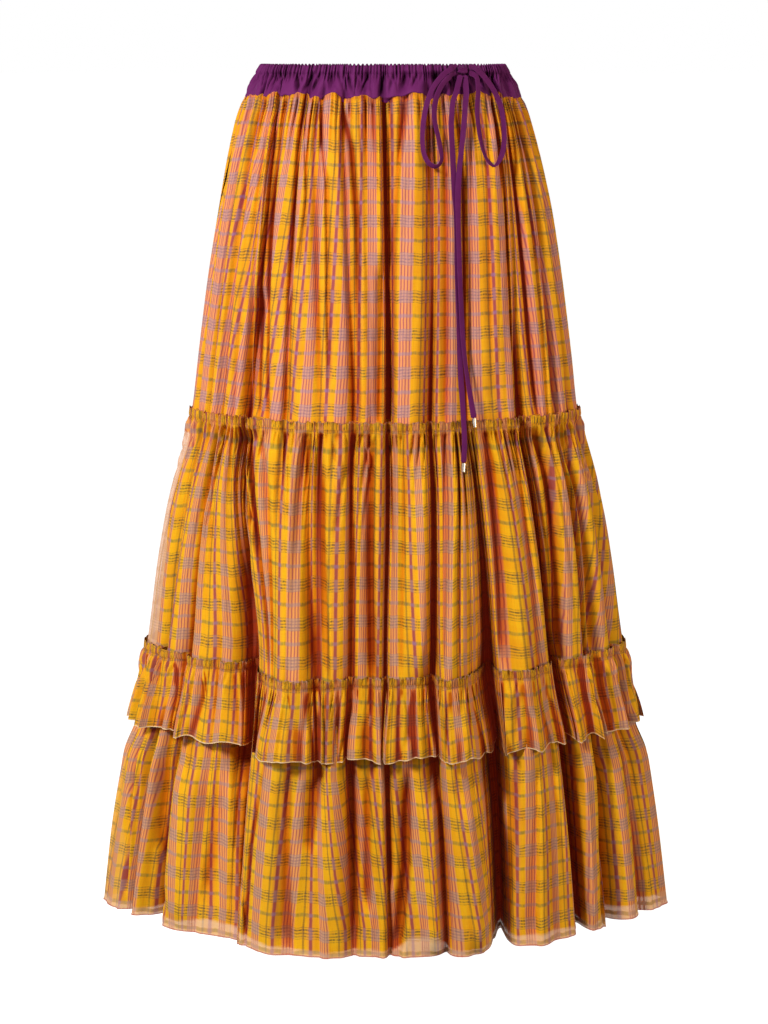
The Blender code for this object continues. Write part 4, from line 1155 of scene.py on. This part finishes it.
TIER_2_CHART = {
    "front": (
        (
            -0.424,
            (
                (-60.4, -12), (-50.3, -10), (-35.6, -6), (-24.2, -5), (-9.6, -3), (-5.4, -2), (2.7, 0),
                (9.2, 1), (17.1, 3), (22.7, 5), (28.0, 9), (36.8, 10), (77.8, 17),
            ),
        ),
        (
            -0.584,
            (
                (-59.9, -12), (-49.8, -10), (-34.0, -6), (-24.3, -5), (-10.0, -3), (-6.3, -2), (2.8, 0),
                (11.2, 1), (18.1, 3), (22.0, 5), (26.8, 9), (38.8, 10), (67.3, 17),
            ),
        ),
    ),
    "back": PLAIN_CHART,
}
TIER_2_CREASES = {
    "front": (
        (((-46.3, -0.368), (-41.6, -0.451), (-46.2, -0.537), (-46.8, -0.592)), 0.014, 2.2, 0.8),
        (((-38.4, -0.366), (-35.6, -0.392), (-33.4, -0.424), (-31.8, -0.505), (-30.8, -0.591)),
         0.012, 2.4, 0.9),
        (((-42.5, -0.378), (-40.0, -0.420), (-37.0, -0.490), (-35.0, -0.540), (-33.8, -0.591)),
         0.014, 2.2, 0.8),
        (((-41.0, -0.366), (-40.0, -0.420), (-38.0, -0.480)), 0.014, 2.4, 1.8),
        (((22.6, -0.390), (22.6, -0.500), (22.8, -0.580)), -0.022, 3.2, 1.4),
        (((11.2, -0.390), (11.2, -0.580)), -0.018, 2.4, 1.8),
        (((-21.6, -0.369), (-21.2, -0.464), (-20.4, -0.588)), 0.016, 2.4, 1.2),
        (((-17.0, -0.400), (-16.8, -0.464), (-15.8, -0.588)), 0.018, 3.4, 0.5),
        (((-11.0, -0.397), (-13.4, -0.455)), 0.006, 0.8, 0.8),
        (((-9.7, -0.369), (-8.2, -0.484), (-8.1, -0.591)), 0.007, 1.6, 0.5),
        (((-3.3, -0.369), (-3.5, -0.484), (-2.8, -0.592)), 0.018, 2.6, 0.7),
        (((5.4, -0.380), (5.2, -0.480), (5.0, -0.590)), 0.006, 1.6, 0.6),
        (((13.6, -0.361), (13.7, -0.423), (14.1, -0.486), (14.6, -0.587)), 0.006, 1.6, 0.5),
        (((17.4, -0.380), (16.9, -0.590)), 0.006, 1.8, 0.6),
        (((20.8, -0.379), (20.0, -0.484), (20.2, -0.575)), 0.008, 0.5, 3.0),
        (((28.6, -0.390), (27.8, -0.488), (27.0, -0.583)), 0.014, 0.8, 2.4),
        (((50.0, -0.367), (51.4, -0.405), (50.6, -0.456), (49.4, -0.529), (48.0, -0.587)), 0.022, 3.6, 1.2),
        (((64.3, -0.386), (64.7, -0.458), (64.8, -0.532), (64.9, -0.595)), 0.010, 0.6, 2.0),
        (((-58.1, -0.379), (-54.4, -0.458), (-54.2, -0.537), (-54.5, -0.587)), 0.005, 0.8, 1.6),
        (((-49.4, -0.387), (-49.1, -0.477), (-49.5, -0.575)), 0.005, 0.8, 1.6),
    ),
    "back": (
        (((109.0, -0.370), (111.0, -0.480), (112.0, -0.590)), 0.008, 0.8, 2.4),
        (((133.0, -0.370), (136.0, -0.480), (135.0, -0.590)), 0.010, 0.6, 2.4),
        (((148.0, -0.370), (150.0, -0.590)), 0.012, 2.6, 0.6),
        (((166.0, -0.370), (163.0, -0.500), (164.0, -0.590)), 0.010, 0.6, 2.2),
        (((176.0, -0.370), (175.0, -0.590)), 0.010, 2.0, 0.6),
        (((190.0, -0.380), (188.0, -0.500)), 0.008, 0.6, 1.8),
        (((202.0, -0.370), (203.0, -0.590)), 0.014, 2.4, 0.6),
        (((219.0, -0.370), (216.0, -0.480), (217.0, -0.590)), 0.010, 0.6, 2.6),
        (((236.0, -0.370), (234.0, -0.590)), 0.012, 2.6, 0.6),
        (((252.0, -0.380), (250.0, -0.590)), 0.006, 0.8, 2.0),
    ),
}
TIER_2_GATHERS = (
    (0.0066, 0.0046, 0.030, 4, 0.00, 0.20, 4.0),
    (0.0125, 0.0052, 0.055, 0, 0.00, 0.20, 4.0),
    (0.0240, 0.0060, 0.075, 1, 0.10, 0.12, 4.0),
    (0.0420, 0.0080, 0.140, 2, 0.45, 0.05, 5.0),
)
TIER_2_WEFT = -0.3990
TIER_2_WEFT_REPEAT = 0.0359
TIER_2_SIZES = {"front": (1000, 41, 1.25), "back": (500, 51, 1.04)}
HEADING = 0.009  # its height above the stitching
LAP = 0.0026  # how far gathered cloth lies outside the cloth that it is sewn over
STEEPEST = 7.0  # the most that steepness gives
TIER_2_ROWS = (
    (UPPER_SEAM + HEADING, UPPER_SEAM, 8),
    (UPPER_SEAM, -0.400, 22),
    (-0.400, -0.480, 22),
    (-0.480, LOWER_SEAM, 26),
)
# The alpha of the sheer left edge, and where that ends: rows of height and column.
TIER_2_COVER = 0.78
TIER_2_SHEER = ((-0.365, -95.0), (-0.380, -87.0), (-0.436, -82.5), (-0.505, -78.0), (-0.603, -77.0))
HEADING_GATHERS = ((0.0050, 0.0034, 1.0, 3, 1.0, 0.05, 1.6), (0.0150, 0.0026, 1.0, 5, 1.0, 0.05, 2.0))
HEADING_FLARE = 0.0048
FLAT_AT_SIDES = 0.92  # of the heading's flare and ripple
HEADING_SHIFT = 0.25  # of a repeat, taken up by the stitching
FRAY = (0.0004, 0.0011)  # height, and length of wave, of the heading's frayed edge
OVER_LINING = (0.94, 1.0, 0.75, 1)  # the orange-yellow lining shows through thin voile
tier_cloth = checked_voile("tier_voile", OVER_LINING, DARK_THREAD, 0.0013)


def steepness(columns, heights, offset):
    """How much longer a wall measures along the direction of its folds than straight through, taken as the
    largest of a column and its neighbours."""
    ring, out = crest_ring(columns, heights)
    run = np.gradient(ring + offset[..., None] * out, axis=1)
    through = np.abs(run[..., 0] * out[..., 1] - run[..., 1] * out[..., 0])
    steep = np.minimum(np.linalg.norm(run, axis=-1) / through, STEEPEST)
    for _ in range(6):
        reach = np.pad(steep, ((0, 0), (1, 1)), mode="edge")
        steep = np.maximum(np.maximum(reach[:, :-2], reach[:, 1:-1]), reach[:, 2:])
    soft = np.pad(steep, ((0, 0), (3, 3)), mode="edge")
    return sum(soft[:, i : i + steep.shape[1]] for i in range(7)) / 7


def in_heading(drop):
    """1 in the heading, where the gathers are packed tight, fading out below its stitching."""
    return 1 - rise(drop, -0.001, 0.005)


def standing_heading(columns, along, drop, seed):
    """How far the heading stands out above its stitching: its flare less its gathers, little at the sides."""
    stands = HEADING_FLARE - uneven_gathers(along, drop, seed, HEADING_GATHERS)
    return stands * rise(-drop, 0.0, HEADING) * (1 - FLAT_AT_SIDES * at_sides(columns, 8))


def raw_edge(along, drop, height, wave, wander):
    """How the heading's raw edge goes up and down: a wave whose phase wanders, and a fine fray on it."""
    fray, fray_wave = FRAY
    waves = height * np.sin(along / wave + 2 * np.sin(along / wander)) + fray * np.sin(along / fray_wave)
    return waves * rise(-drop, 0.0, HEADING)


def stitched_groove(drop):
    """How far the stitching draws the cloth in: a narrow bell down the cloth."""
    return 0.0010 * bell(drop, 0.0012)


def gathered_weft(heights, drop, first, repeat, taken, within):
    """Repeats of the check down from where one starts. The gathers take up a part of one within a short way
    of the stitching, and the heading lies a part of one further on."""
    down = (first - heights) / repeat + taken * (1 - rise(drop, 0.0, within))
    return down + HEADING_SHIFT * rise(-drop, 0.0, 0.003)


def gathered_shade(offset, folds, drop, fine, broad, strength=1.0):
    """The shade of a panel under a heading: half as strong in the heading, and darker along the stitching."""
    deep = strength * shading(offset, folds, fine, broad) * (1 - 0.5 * in_heading(drop))
    return np.clip(deep + 0.25 * bell(drop, 0.0020), 0, 1)


def side_cover(columns, heights, rows, sheer):
    """1 where the lining backs the cloth, and the sheer share along the left edge, in front and behind, where
    it hangs clear: its inner edge follows rows of height and column."""
    level, edge = np.array(rows).T
    boundary = np.interp(-heights, -level, edge)
    return sheer + (1 - sheer) * rise(mirrored(columns), boundary - 0.25, boundary + 0.25)


def second_tier(side):
    """The main folds less its creases, a lap outside the top tier's foot. A heading stands above the stitched
    groove, and a puff and four sizes of gathers start below it."""
    count, seed, cut = TIER_2_SIZES[side]
    columns, _ = even_columns(*SPANS[side], count, -0.560)
    heights = strung_rows(*TIER_2_ROWS)
    along, repeats = cloth_along(columns, heights, LOWER_SEAM, TIER_2_CHART[side])
    drop = UPPER_SEAM - heights
    folds = -fold_depth(columns, heights)
    under = rise(drop, 0.0, 0.007)
    offset = folds + LAP * steepness(columns, heights, folds) * (1 - rise(drop, 0.0, 0.018))
    offset += standing_heading(columns, along, drop, seed)
    offset -= uneven_gathers(along, drop, seed, TIER_2_GATHERS) * under
    offset -= creases(columns, heights, TIER_2_CREASES[side]) * rise(drop, -0.001, 0.015)
    offset += 0.0026 * bell(drop - 0.010, 0.010) * under - stitched_groove(drop)
    down = gathered_weft(heights, drop, TIER_2_WEFT, TIER_2_WEFT_REPEAT, 0.21, 0.03)
    # tight lays painted dark flecks of shade in the heading.
    piece = cloth_piece(
        f"second_tier_{side}",
        skin_of(columns, heights, offset, raw_edge(along, drop, 0.0009, 0.0031, 0.019)),
        repeats,
        down + 0.12 * at_sides(columns, 4) + wobble(along, heights, seed),
        tier_cloth,
        deep=gathered_shade(offset, folds, drop, count // 100, count // 36),
        cover=side_cover(columns, heights, TIER_2_SHEER, TIER_2_COVER),
        hem=heights[0] - heights + 0.0009,
        tight=in_heading(drop),
    )
    dress(piece, f"tier_2_{side}")


for side in SPANS:
    second_tier(side)


# ---------------------------------------------------------------------------------------------------------
# Ruffle: a short flounce of the check, gathered with a standing heading and sewn over the lower seam. Its
# hem is finished with a fine pale rolled edge and stands out in tubes.

# The flounce's own check runs closer than the tier's, as its cloth is gathered more.
RUFFLE_REPEATS = ((-90.0, -19.3), (0.0, 0.3), (90.0, 23.3))
RUFFLE_CHART = {
    "front": ((-0.60, RUFFLE_REPEATS), (-0.68, RUFFLE_REPEATS)),
    "back": PLAIN_CHART,
}


def upright(top, foot, rows):
    """Creases that run straight from one height to another: a row gives the column at the top and at the
    foot, the depth, and the half widths to the left and right."""
    return tuple((((start, top), (end, foot)), depth, left, right) for start, end, depth, left, right in rows)


# Creases between its tubes, and one ridge.
RUFFLE_CREASES = {
    "front": (
        *upright(
            -0.61,
            -0.68,
            (
                (-60.5, -61.0, 0.004, 1.2, 0.8), (-70.0, -71.0, 0.003, 1.2, 0.8),
                (-53.0, -53.5, 0.004, 0.8, 1.4), (-34.5, -35.5, 0.010, 2.0, 0.8),
                (-25.5, -26.0, 0.006, 0.9, 0.9), (-21.6, -22.0, 0.012, 1.8, 0.8),
                (-16.8, -16.8, 0.008, 0.9, 0.7), (-12.6, -12.8, 0.006, 0.7, 0.7),
                (-8.9, -9.0, 0.016, 1.2, 0.7), (-5.0, -5.2, 0.006, 0.7, 0.7), (0.0, 0.0, 0.016, 0.9, 0.7),
                (4.6, 4.4, 0.006, 0.7, 0.7), (7.7, 7.9, 0.013, 1.2, 0.8), (13.6, 13.6, 0.018, 0.9, 0.7),
                (18.6, 19.0, 0.007, 0.8, 0.8), (28.4, 28.8, -0.010, 1.2, 2.4),
                (32.0, 32.4, 0.008, 0.8, 0.8), (34.6, 35.2, 0.007, 0.8, 0.8),
                (74.0, 75.0, 0.008, 0.8, 1.4),
            ),
        ),
        *upright(
            -0.60,
            -0.68,
            ((41.6, 41.6, 0.026, 3.2, 1.6), (55.6, 56.0, 0.022, 2.6, 1.2), (64.9, 64.9, 0.016, 0.7, 1.8)),
        ),
    ),
    "back": upright(
        -0.61,
        -0.68,
        (
            (103.0, 103.0, 0.010, 0.8, 1.4), (118.0, 119.0, 0.010, 0.8, 1.2),
            (136.0, 136.0, 0.012, 0.9, 0.9), (147.0, 148.0, 0.010, 0.9, 0.9),
            (163.0, 163.0, 0.012, 0.8, 0.8), (176.0, 176.0, 0.010, 0.8, 0.8),
            (189.0, 190.0, 0.012, 0.8, 0.8), (202.0, 202.0, 0.010, 0.8, 1.2),
            (216.0, 217.0, 0.012, 0.8, 1.0), (231.0, 231.0, 0.010, 1.2, 0.8),
            (249.0, 250.0, 0.010, 1.2, 0.8),
        ),
    ),
}
# How far the front's hem moves aside, so that each tube stands in its place: rows of column and millimetres.
RUFFLE_SPREAD = (
    (-90.0, 0.0), (-60.0, 0.0), (-48.0, 5.0), (-46.0, 5.0), (-40.0, 0.0), (-33.0, -8.0), (-30.0, -7.0),
    (-20.0, 0.0), (-17.2, 1.0), (-16.3, -2.0), (-12.0, -2.0), (-9.4, -3.0), (-8.1, -6.0), (-4.0, 0.0),
    (-1.4, 2.0), (1.5, -4.0), (7.0, 0.0), (12.3, 2.0), (14.5, 0.0), (18.0, 0.0), (22.6, 5.0), (24.5, 4.0),
    (27.1, -3.0), (33.0, 1.0), (39.2, 2.0), (43.0, 3.0), (47.4, 3.0), (56.0, 3.0), (64.9, 2.0), (66.0, 2.0),
    (80.0, 0.0), (90.0, 0.0),
)
RUFFLE_GATHERS = ((0.0066, 0.0044, 0.024, 0, 0.00, 0.30, 4.0), (0.0150, 0.0056, 0.050, 1, 0.35, 0.20, 3.0))
RUFFLE_TUBES = ((0.0360, 0.0110, 1.0, 2, 1.0, 0.10, 1.6),)
RUFFLE_COVER = 0.96
RUFFLE_SHEER = ((-0.590, -93.0), (-0.676, -87.0))
RUFFLE_WEFT = -0.6370
RUFFLE_WEFT_REPEAT = 0.0355
RUFFLE_SIZES = {"front": (1300, 61, 1.55), "back": (600, 71, 1.30)}
RUFFLE_HEM = -0.676
RUFFLE_ROWS = ((LOWER_SEAM + HEADING, LOWER_SEAM, 8), (LOWER_SEAM, -0.630, 12), (-0.630, RUFFLE_HEM, 14))
RUFFLE_FLARE = 0.0095
RUFFLE_SIDES_IN = 0.0050
RUFFLE_CLEAR = 0.0020  # of the third tier
RUFFLE_SHADE = 1.7
ruffle_cloth = checked_voile("ruffle_voile", OVER_LINING, (0.86, 0.62, 0.36, 1), 0.0010)


def behind_ruffle(drop):
    """How far the third tier lies in from its crest behind the ruffle: a bump with smooth ends."""
    return 0.0030 * rise(drop, 0.0, 0.04) * (1 - rise(drop, 0.08, 0.12))


def flounce(side):
    """The main folds with a lap and a flare, less its creases, fine gathers below the stitching, and wide
    tubes that grow to the hem. It is kept clear of the third tier, further out where the folds are steep."""
    count, seed, cut = RUFFLE_SIZES[side]
    columns, _ = even_columns(*SPANS[side], count, -0.640)
    heights = strung_rows(*RUFFLE_ROWS)
    along, repeats = cloth_along(columns, heights, LOWER_SEAM, RUFFLE_CHART[side])
    drop = LOWER_SEAM - heights
    flare = rise(drop, 0.0, LOWER_SEAM - RUFFLE_HEM)
    folds = -fold_depth(columns, heights, 1 - 0.35 * flare[..., None])
    steep = steepness(columns, heights, folds)
    under = rise(drop, 0.0, 0.006)
    offset = folds + LAP * steep + standing_heading(columns, along, drop, seed) + RUFFLE_FLARE * flare
    offset += 0.0030 * under * bell(drop - 0.012, 0.014)
    offset -= RUFFLE_SIDES_IN * flare * at_sides(columns, 8) + stitched_groove(drop)
    offset -= uneven_gathers(along, drop, seed, RUFFLE_GATHERS) * under
    offset -= uneven_gathers(along, drop, seed, RUFFLE_TUBES) * flare
    offset -= creases(columns, heights, RUFFLE_CREASES[side])
    deep = gathered_shade(offset, folds, drop, count // 110, count // 40, RUFFLE_SHADE)
    offset = np.maximum(offset, folds - behind_ruffle(drop) + RUFFLE_CLEAR * steep)
    raised = raw_edge(along, drop, 0.0008, 0.0027, 0.017)
    raised = raised + 0.0022 * np.sin(along / 0.0110 + 2 * np.sin(along / 0.031)) * flare
    points = skin_of(columns, heights, offset, raised)
    if side == "front":
        spots, aside = np.array(RUFFLE_SPREAD).T
        points[..., 0] += 0.001 * np.interp(columns, spots, aside) * flare
    down = gathered_weft(heights, drop, RUFFLE_WEFT, RUFFLE_WEFT_REPEAT, 0.08, 0.02)
    # tight lays painted dark flecks of shade in the heading.
    piece = cloth_piece(
        f"flounce_{side}",
        points,
        repeats,
        down + wobble(along, heights, seed),
        ruffle_cloth,
        deep=deep,
        cover=side_cover(columns, heights, RUFFLE_SHEER, RUFFLE_COVER),
        hem=np.minimum(heights - RUFFLE_HEM, heights[0] - heights + 0.0012),
        tight=in_heading(drop),
    )
    dress(piece, f"ruffle_{side}")


for side in SPANS:
    flounce(side)


# ---------------------------------------------------------------------------------------------------------
# Third tier: the widest panels of the check, gathered into the lower seam behind the ruffle. Below the
# lining's hem it is sheer, and its own hem is a fine rolled edge of dark thread.

TIER_3_CHART = {
    "front": (
        (
            -0.720,
            (
                (-61.7, -12), (-55.1, -9), (-51.1, -8), (-48.5, -7), (-31.0, -4), (-21.8, -3), (-13.4, -1),
                (0.3, 1), (6.6, 2), (14.8, 4), (20.1, 5), (31.6, 10), (53.3, 14), (67.0, 17),
            ),
        ),
        (
            -0.834,
            (
                (-63.5, -12), (-53.9, -9), (-51.5, -8), (-47.1, -7), (-33.5, -4), (-23.5, -3), (-9.5, -1),
                (1.8, 1), (8.5, 2), (15.1, 4), (21.5, 5), (30.2, 10), (50.0, 14), (67.9, 17),
            ),
        ),
    ),
    "back": PLAIN_CHART,
}
TIER_3_CREASES = {
    "front": (
        (((-79.0, -0.739), (-74.1, -0.800), (-73.6, -0.853)), 0.006, 0.8, 1.2),
        (((-61.0, -0.714), (-60.1, -0.796), (-54.8, -0.866)), 0.009, 0.6, 1.6),
        (((-54.0, -0.720), (-54.0, -0.868)), -0.012, 2.5, 2.5),
        (((-49.2, -0.688), (-49.4, -0.789), (-49.9, -0.835)), 0.006, 0.6, 2.2),
        (((-46.8, -0.692), (-45.4, -0.783), (-39.9, -0.851)), 0.005, 0.6, 2.2),
        (((-45.4, -0.712), (-45.4, -0.800), (-45.0, -0.890)), -0.046, 2.2, 1.3),
        (((-24.4, -0.696), (-24.2, -0.780), (-23.7, -0.868)), 0.018, 3.2, 0.9),
        (((-32.4, -0.687), (-37.6, -0.773), (-38.8, -0.866)), 0.010, 2.0, 0.5),
        (((-21.7, -0.680), (-21.5, -0.760), (-21.1, -0.860)), 0.006, 2.4, 1.6),
        (((-15.5, -0.678), (-19.5, -0.706), (-20.2, -0.764)), 0.008, 1.8, 0.5),
        (((-7.8, -0.684), (-8.0, -0.749), (-8.2, -0.850)), 0.009, 1.8, 1.2),
        (((-5.0, -0.700), (-5.2, -0.820)), 0.015, 2.2, 0.6),
        (((6.0, -0.698), (5.3, -0.780), (3.5, -0.850), (2.8, -0.868)), 0.022, 2.4, 0.7),
        (((11.6, -0.718), (11.6, -0.868)), -0.024, 2.8, 1.6),
        (((1.6, -0.687), (1.6, -0.738), (1.3, -0.797)), 0.012, 0.8, 1.2),
        (((12.5, -0.689), (14.1, -0.779), (13.9, -0.866)), 0.004, 0.5, 1.6),
        (((21.2, -0.722), (21.4, -0.868)), -0.026, 2.8, 1.8),
        (((33.5, -0.698), (31.8, -0.790), (31.0, -0.868)), 0.012, 2.4, 0.8),
        (((28.6, -0.694), (26.8, -0.776), (25.3, -0.868)), 0.008, 1.6, 0.5),
        (((44.4, -0.692), (44.2, -0.785), (44.8, -0.873)), 0.013, 2.4, 0.9),
        (((46.9, -0.674), (46.7, -0.740), (46.3, -0.860)), 0.009, 1.8, 1.2),
        (((64.0, -0.694), (59.0, -0.783), (57.0, -0.870)), 0.010, 2.4, 1.2),
        (((51.5, -0.700), (50.0, -0.785), (49.0, -0.868)), -0.012, 2.0, 3.4),
    ),
    "back": upright(
        -0.690,
        -0.860,
        (
            (106.0, 108.0, 0.010, 0.8, 2.0), (117.0, 119.0, 0.008, 0.8, 1.8),
            (133.0, 136.0, 0.012, 2.4, 0.6), (149.0, 147.0, 0.010, 0.6, 2.2),
            (163.0, 165.0, 0.012, 0.6, 2.4), (176.0, 175.0, 0.010, 2.0, 0.6),
            (189.0, 190.0, 0.012, 0.6, 2.0), (202.0, 200.0, 0.010, 2.0, 0.6),
            (217.0, 216.0, 0.012, 0.6, 2.4), (231.0, 229.0, 0.010, 2.4, 0.6),
            (249.0, 248.0, 0.010, 0.8, 2.0),
        ),
    ),
}
TIER_3_GATHERS = (
    (0.0190, 0.0046, 0.130, 0, 0.00, 0.10, 3.0),
    (0.0330, 0.0070, 0.190, 1, 0.30, 0.06, 4.0),
    (0.0600, 0.0080, 1.000, 2, 1.00, 0.04, 3.0),
)
TIER_3_COVER = 0.965
TIER_3_SHEER = ((-0.700, -86.0), (-0.760, -81.0), (-0.820, -77.0), (-0.853, -75.0))
TIER_3_WEFT = -0.7030
TIER_3_SIZES = {"front": (860, 81, 1.60), "back": (520, 91, 1.45)}
TIER_3_ROWS = ((LOWER_SEAM, -0.660, 14), (-0.660, -0.840, 56), (-0.840, HEM, 18))
TIER_3_SIDES_OUT = 0.0060
# How far above the hem the lining ends behind the cloth: rows of column and metres.
BARE_HEM = (
    (-90.0, 0.0085), (-62.2, 0.0085), (-53.0, 0.0107), (-49.2, 0.0160), (-41.2, 0.0107), (-32.2, 0.0107),
    (-23.2, 0.0064), (-15.3, 0.0053), (-4.8, 0.0075), (1.7, 0.0053), (3.4, 0.0100), (5.0, 0.0203),
    (11.4, 0.0213), (13.0, 0.0100), (13.8, 0.0064), (20.3, 0.0064), (26.2, 0.0096), (34.6, 0.0117),
    (47.8, 0.0053), (56.6, 0.0117), (66.6, 0.0139), (90.0, 0.0149),
)
HEM_SHEER = 0.90


def bare_hem(columns):
    """The strip of hem with no lining behind it, in metres, the same behind as in front."""
    spots, strip = np.array(BARE_HEM).T
    return np.interp(mirrored(columns), spots, strip)


def third_tier(side):
    """The main folds less its creases, set in behind the ruffle, with middling gathers that die out and wide
    ones that last to the hem, whose rolled edge stands out a little."""
    count, seed, cut = TIER_3_SIZES[side]
    columns, _ = even_columns(*SPANS[side], count, -0.780)
    heights = strung_rows(*TIER_3_ROWS)
    along, repeats = cloth_along(columns, heights, HEM, TIER_3_CHART[side])
    drop = LOWER_SEAM - heights
    folds = -fold_depth(columns, heights)
    pushed = creases(columns, heights, TIER_3_CREASES[side])
    gathers = uneven_gathers(along, drop, seed, TIER_3_GATHERS) * rise(drop, 0.0, 0.03)
    offset = folds - behind_ruffle(drop) - gathers - pushed
    offset += TIER_3_SIDES_OUT * rise(drop, 0.07, 0.11) * at_sides(columns, 8)
    offset += 0.0008 * bell(heights - HEM, 0.0012)
    strip = bare_hem(columns)
    lined = rise(heights - HEM, strip - 0.0012, strip + 0.0012)
    cover = HEM_SHEER + (1 - HEM_SHEER) * lined
    down = (TIER_3_WEFT - heights) / WEFT_REPEAT + 0.10 * at_sides(columns, 4) + wobble(along, heights, seed)
    piece = cloth_piece(
        f"third_tier_{side}",
        skin_of(columns, heights, offset),
        repeats,
        down,
        tier_cloth,
        deep=shading(offset, folds - pushed, count // 90, count // 34) * (0.4 + 0.45 * lined),
        cover=np.minimum(cover, side_cover(columns, heights, TIER_3_SHEER, TIER_3_COVER)),
        hem=heights - HEM,
        tight=0.0,
    )
    dress(piece, f"tier_3_{side}")


for side in SPANS:
    third_tier(side)


# ---------------------------------------------------------------------------------------------------------
# Lining: one tube of plain orange-yellow cotton, sewn in behind the upper seam, that hangs free behind the
# second and third tiers and ends above their hem.

LINING_TOP = -0.351
LINING_HEM = -0.860
LINING_INSET = 0.0175
LAYER = 0.0021
# Where it hangs clear of the sheer left side: further in by this, at this height, within these reaches.
SHEER_INSET = 0.0100
SHEER_HEIGHT = -0.52
SHEER_ACROSS = 22.0  # degrees
SHEER_DOWN = 0.12
LINING_REPEAT = 0.04
LINING_DYES = ((0.88, 0.42, 0.02, 1), (0.80, 0.33, 0.015, 1))


def plain_lining_cotton():
    """Plain orange-yellow cotton lawn with a fine weave."""
    made, shader, start = new_material("lining_lawn", 0.8, sheen=0.1)
    slub = noise(cloth_place(start), 30.0, 3.0)
    wired(shader, "Base Color", slub.mixed(*LINING_DYES))
    embossed(shader, 0.25, 0.0004, slub)
    return made


columns, along = even_columns(-90.0, 270.0, 601, -0.700)
heights = strung_rows((LINING_TOP, -0.378, 6), (-0.378, LINING_HEM, 44))
folds = -fold_depth(columns, heights)
inset = LINING_INSET * rise(-heights, 0.351, 0.372)
aside = bell((columns - 90) % FULL_TURN - FULL_TURN / 2, SHEER_ACROSS)
sheer = SHEER_INSET * bell(heights - SHEER_HEIGHT, SHEER_DOWN) * aside
offset = folds - LAYER * steepness(columns, heights, folds) - inset - sheer
for rows in (*TIER_2_CREASES.values(), *TIER_3_CREASES.values()):
    offset -= creases(columns, heights, rows)
hem_line = np.minimum(HEM + bare_hem(columns) - LINING_HEM, 0.003)
points = skin_of(columns, heights, offset, rise(-heights, 0.60, 0.86) * hem_line)
points[:, -1] = points[:, 0]
lining = cloth_piece(
    "lining_tube", points, along / LINING_REPEAT, -heights / LINING_REPEAT, plain_lining_cotton(), closed=True
)
dress(lining, "lining")
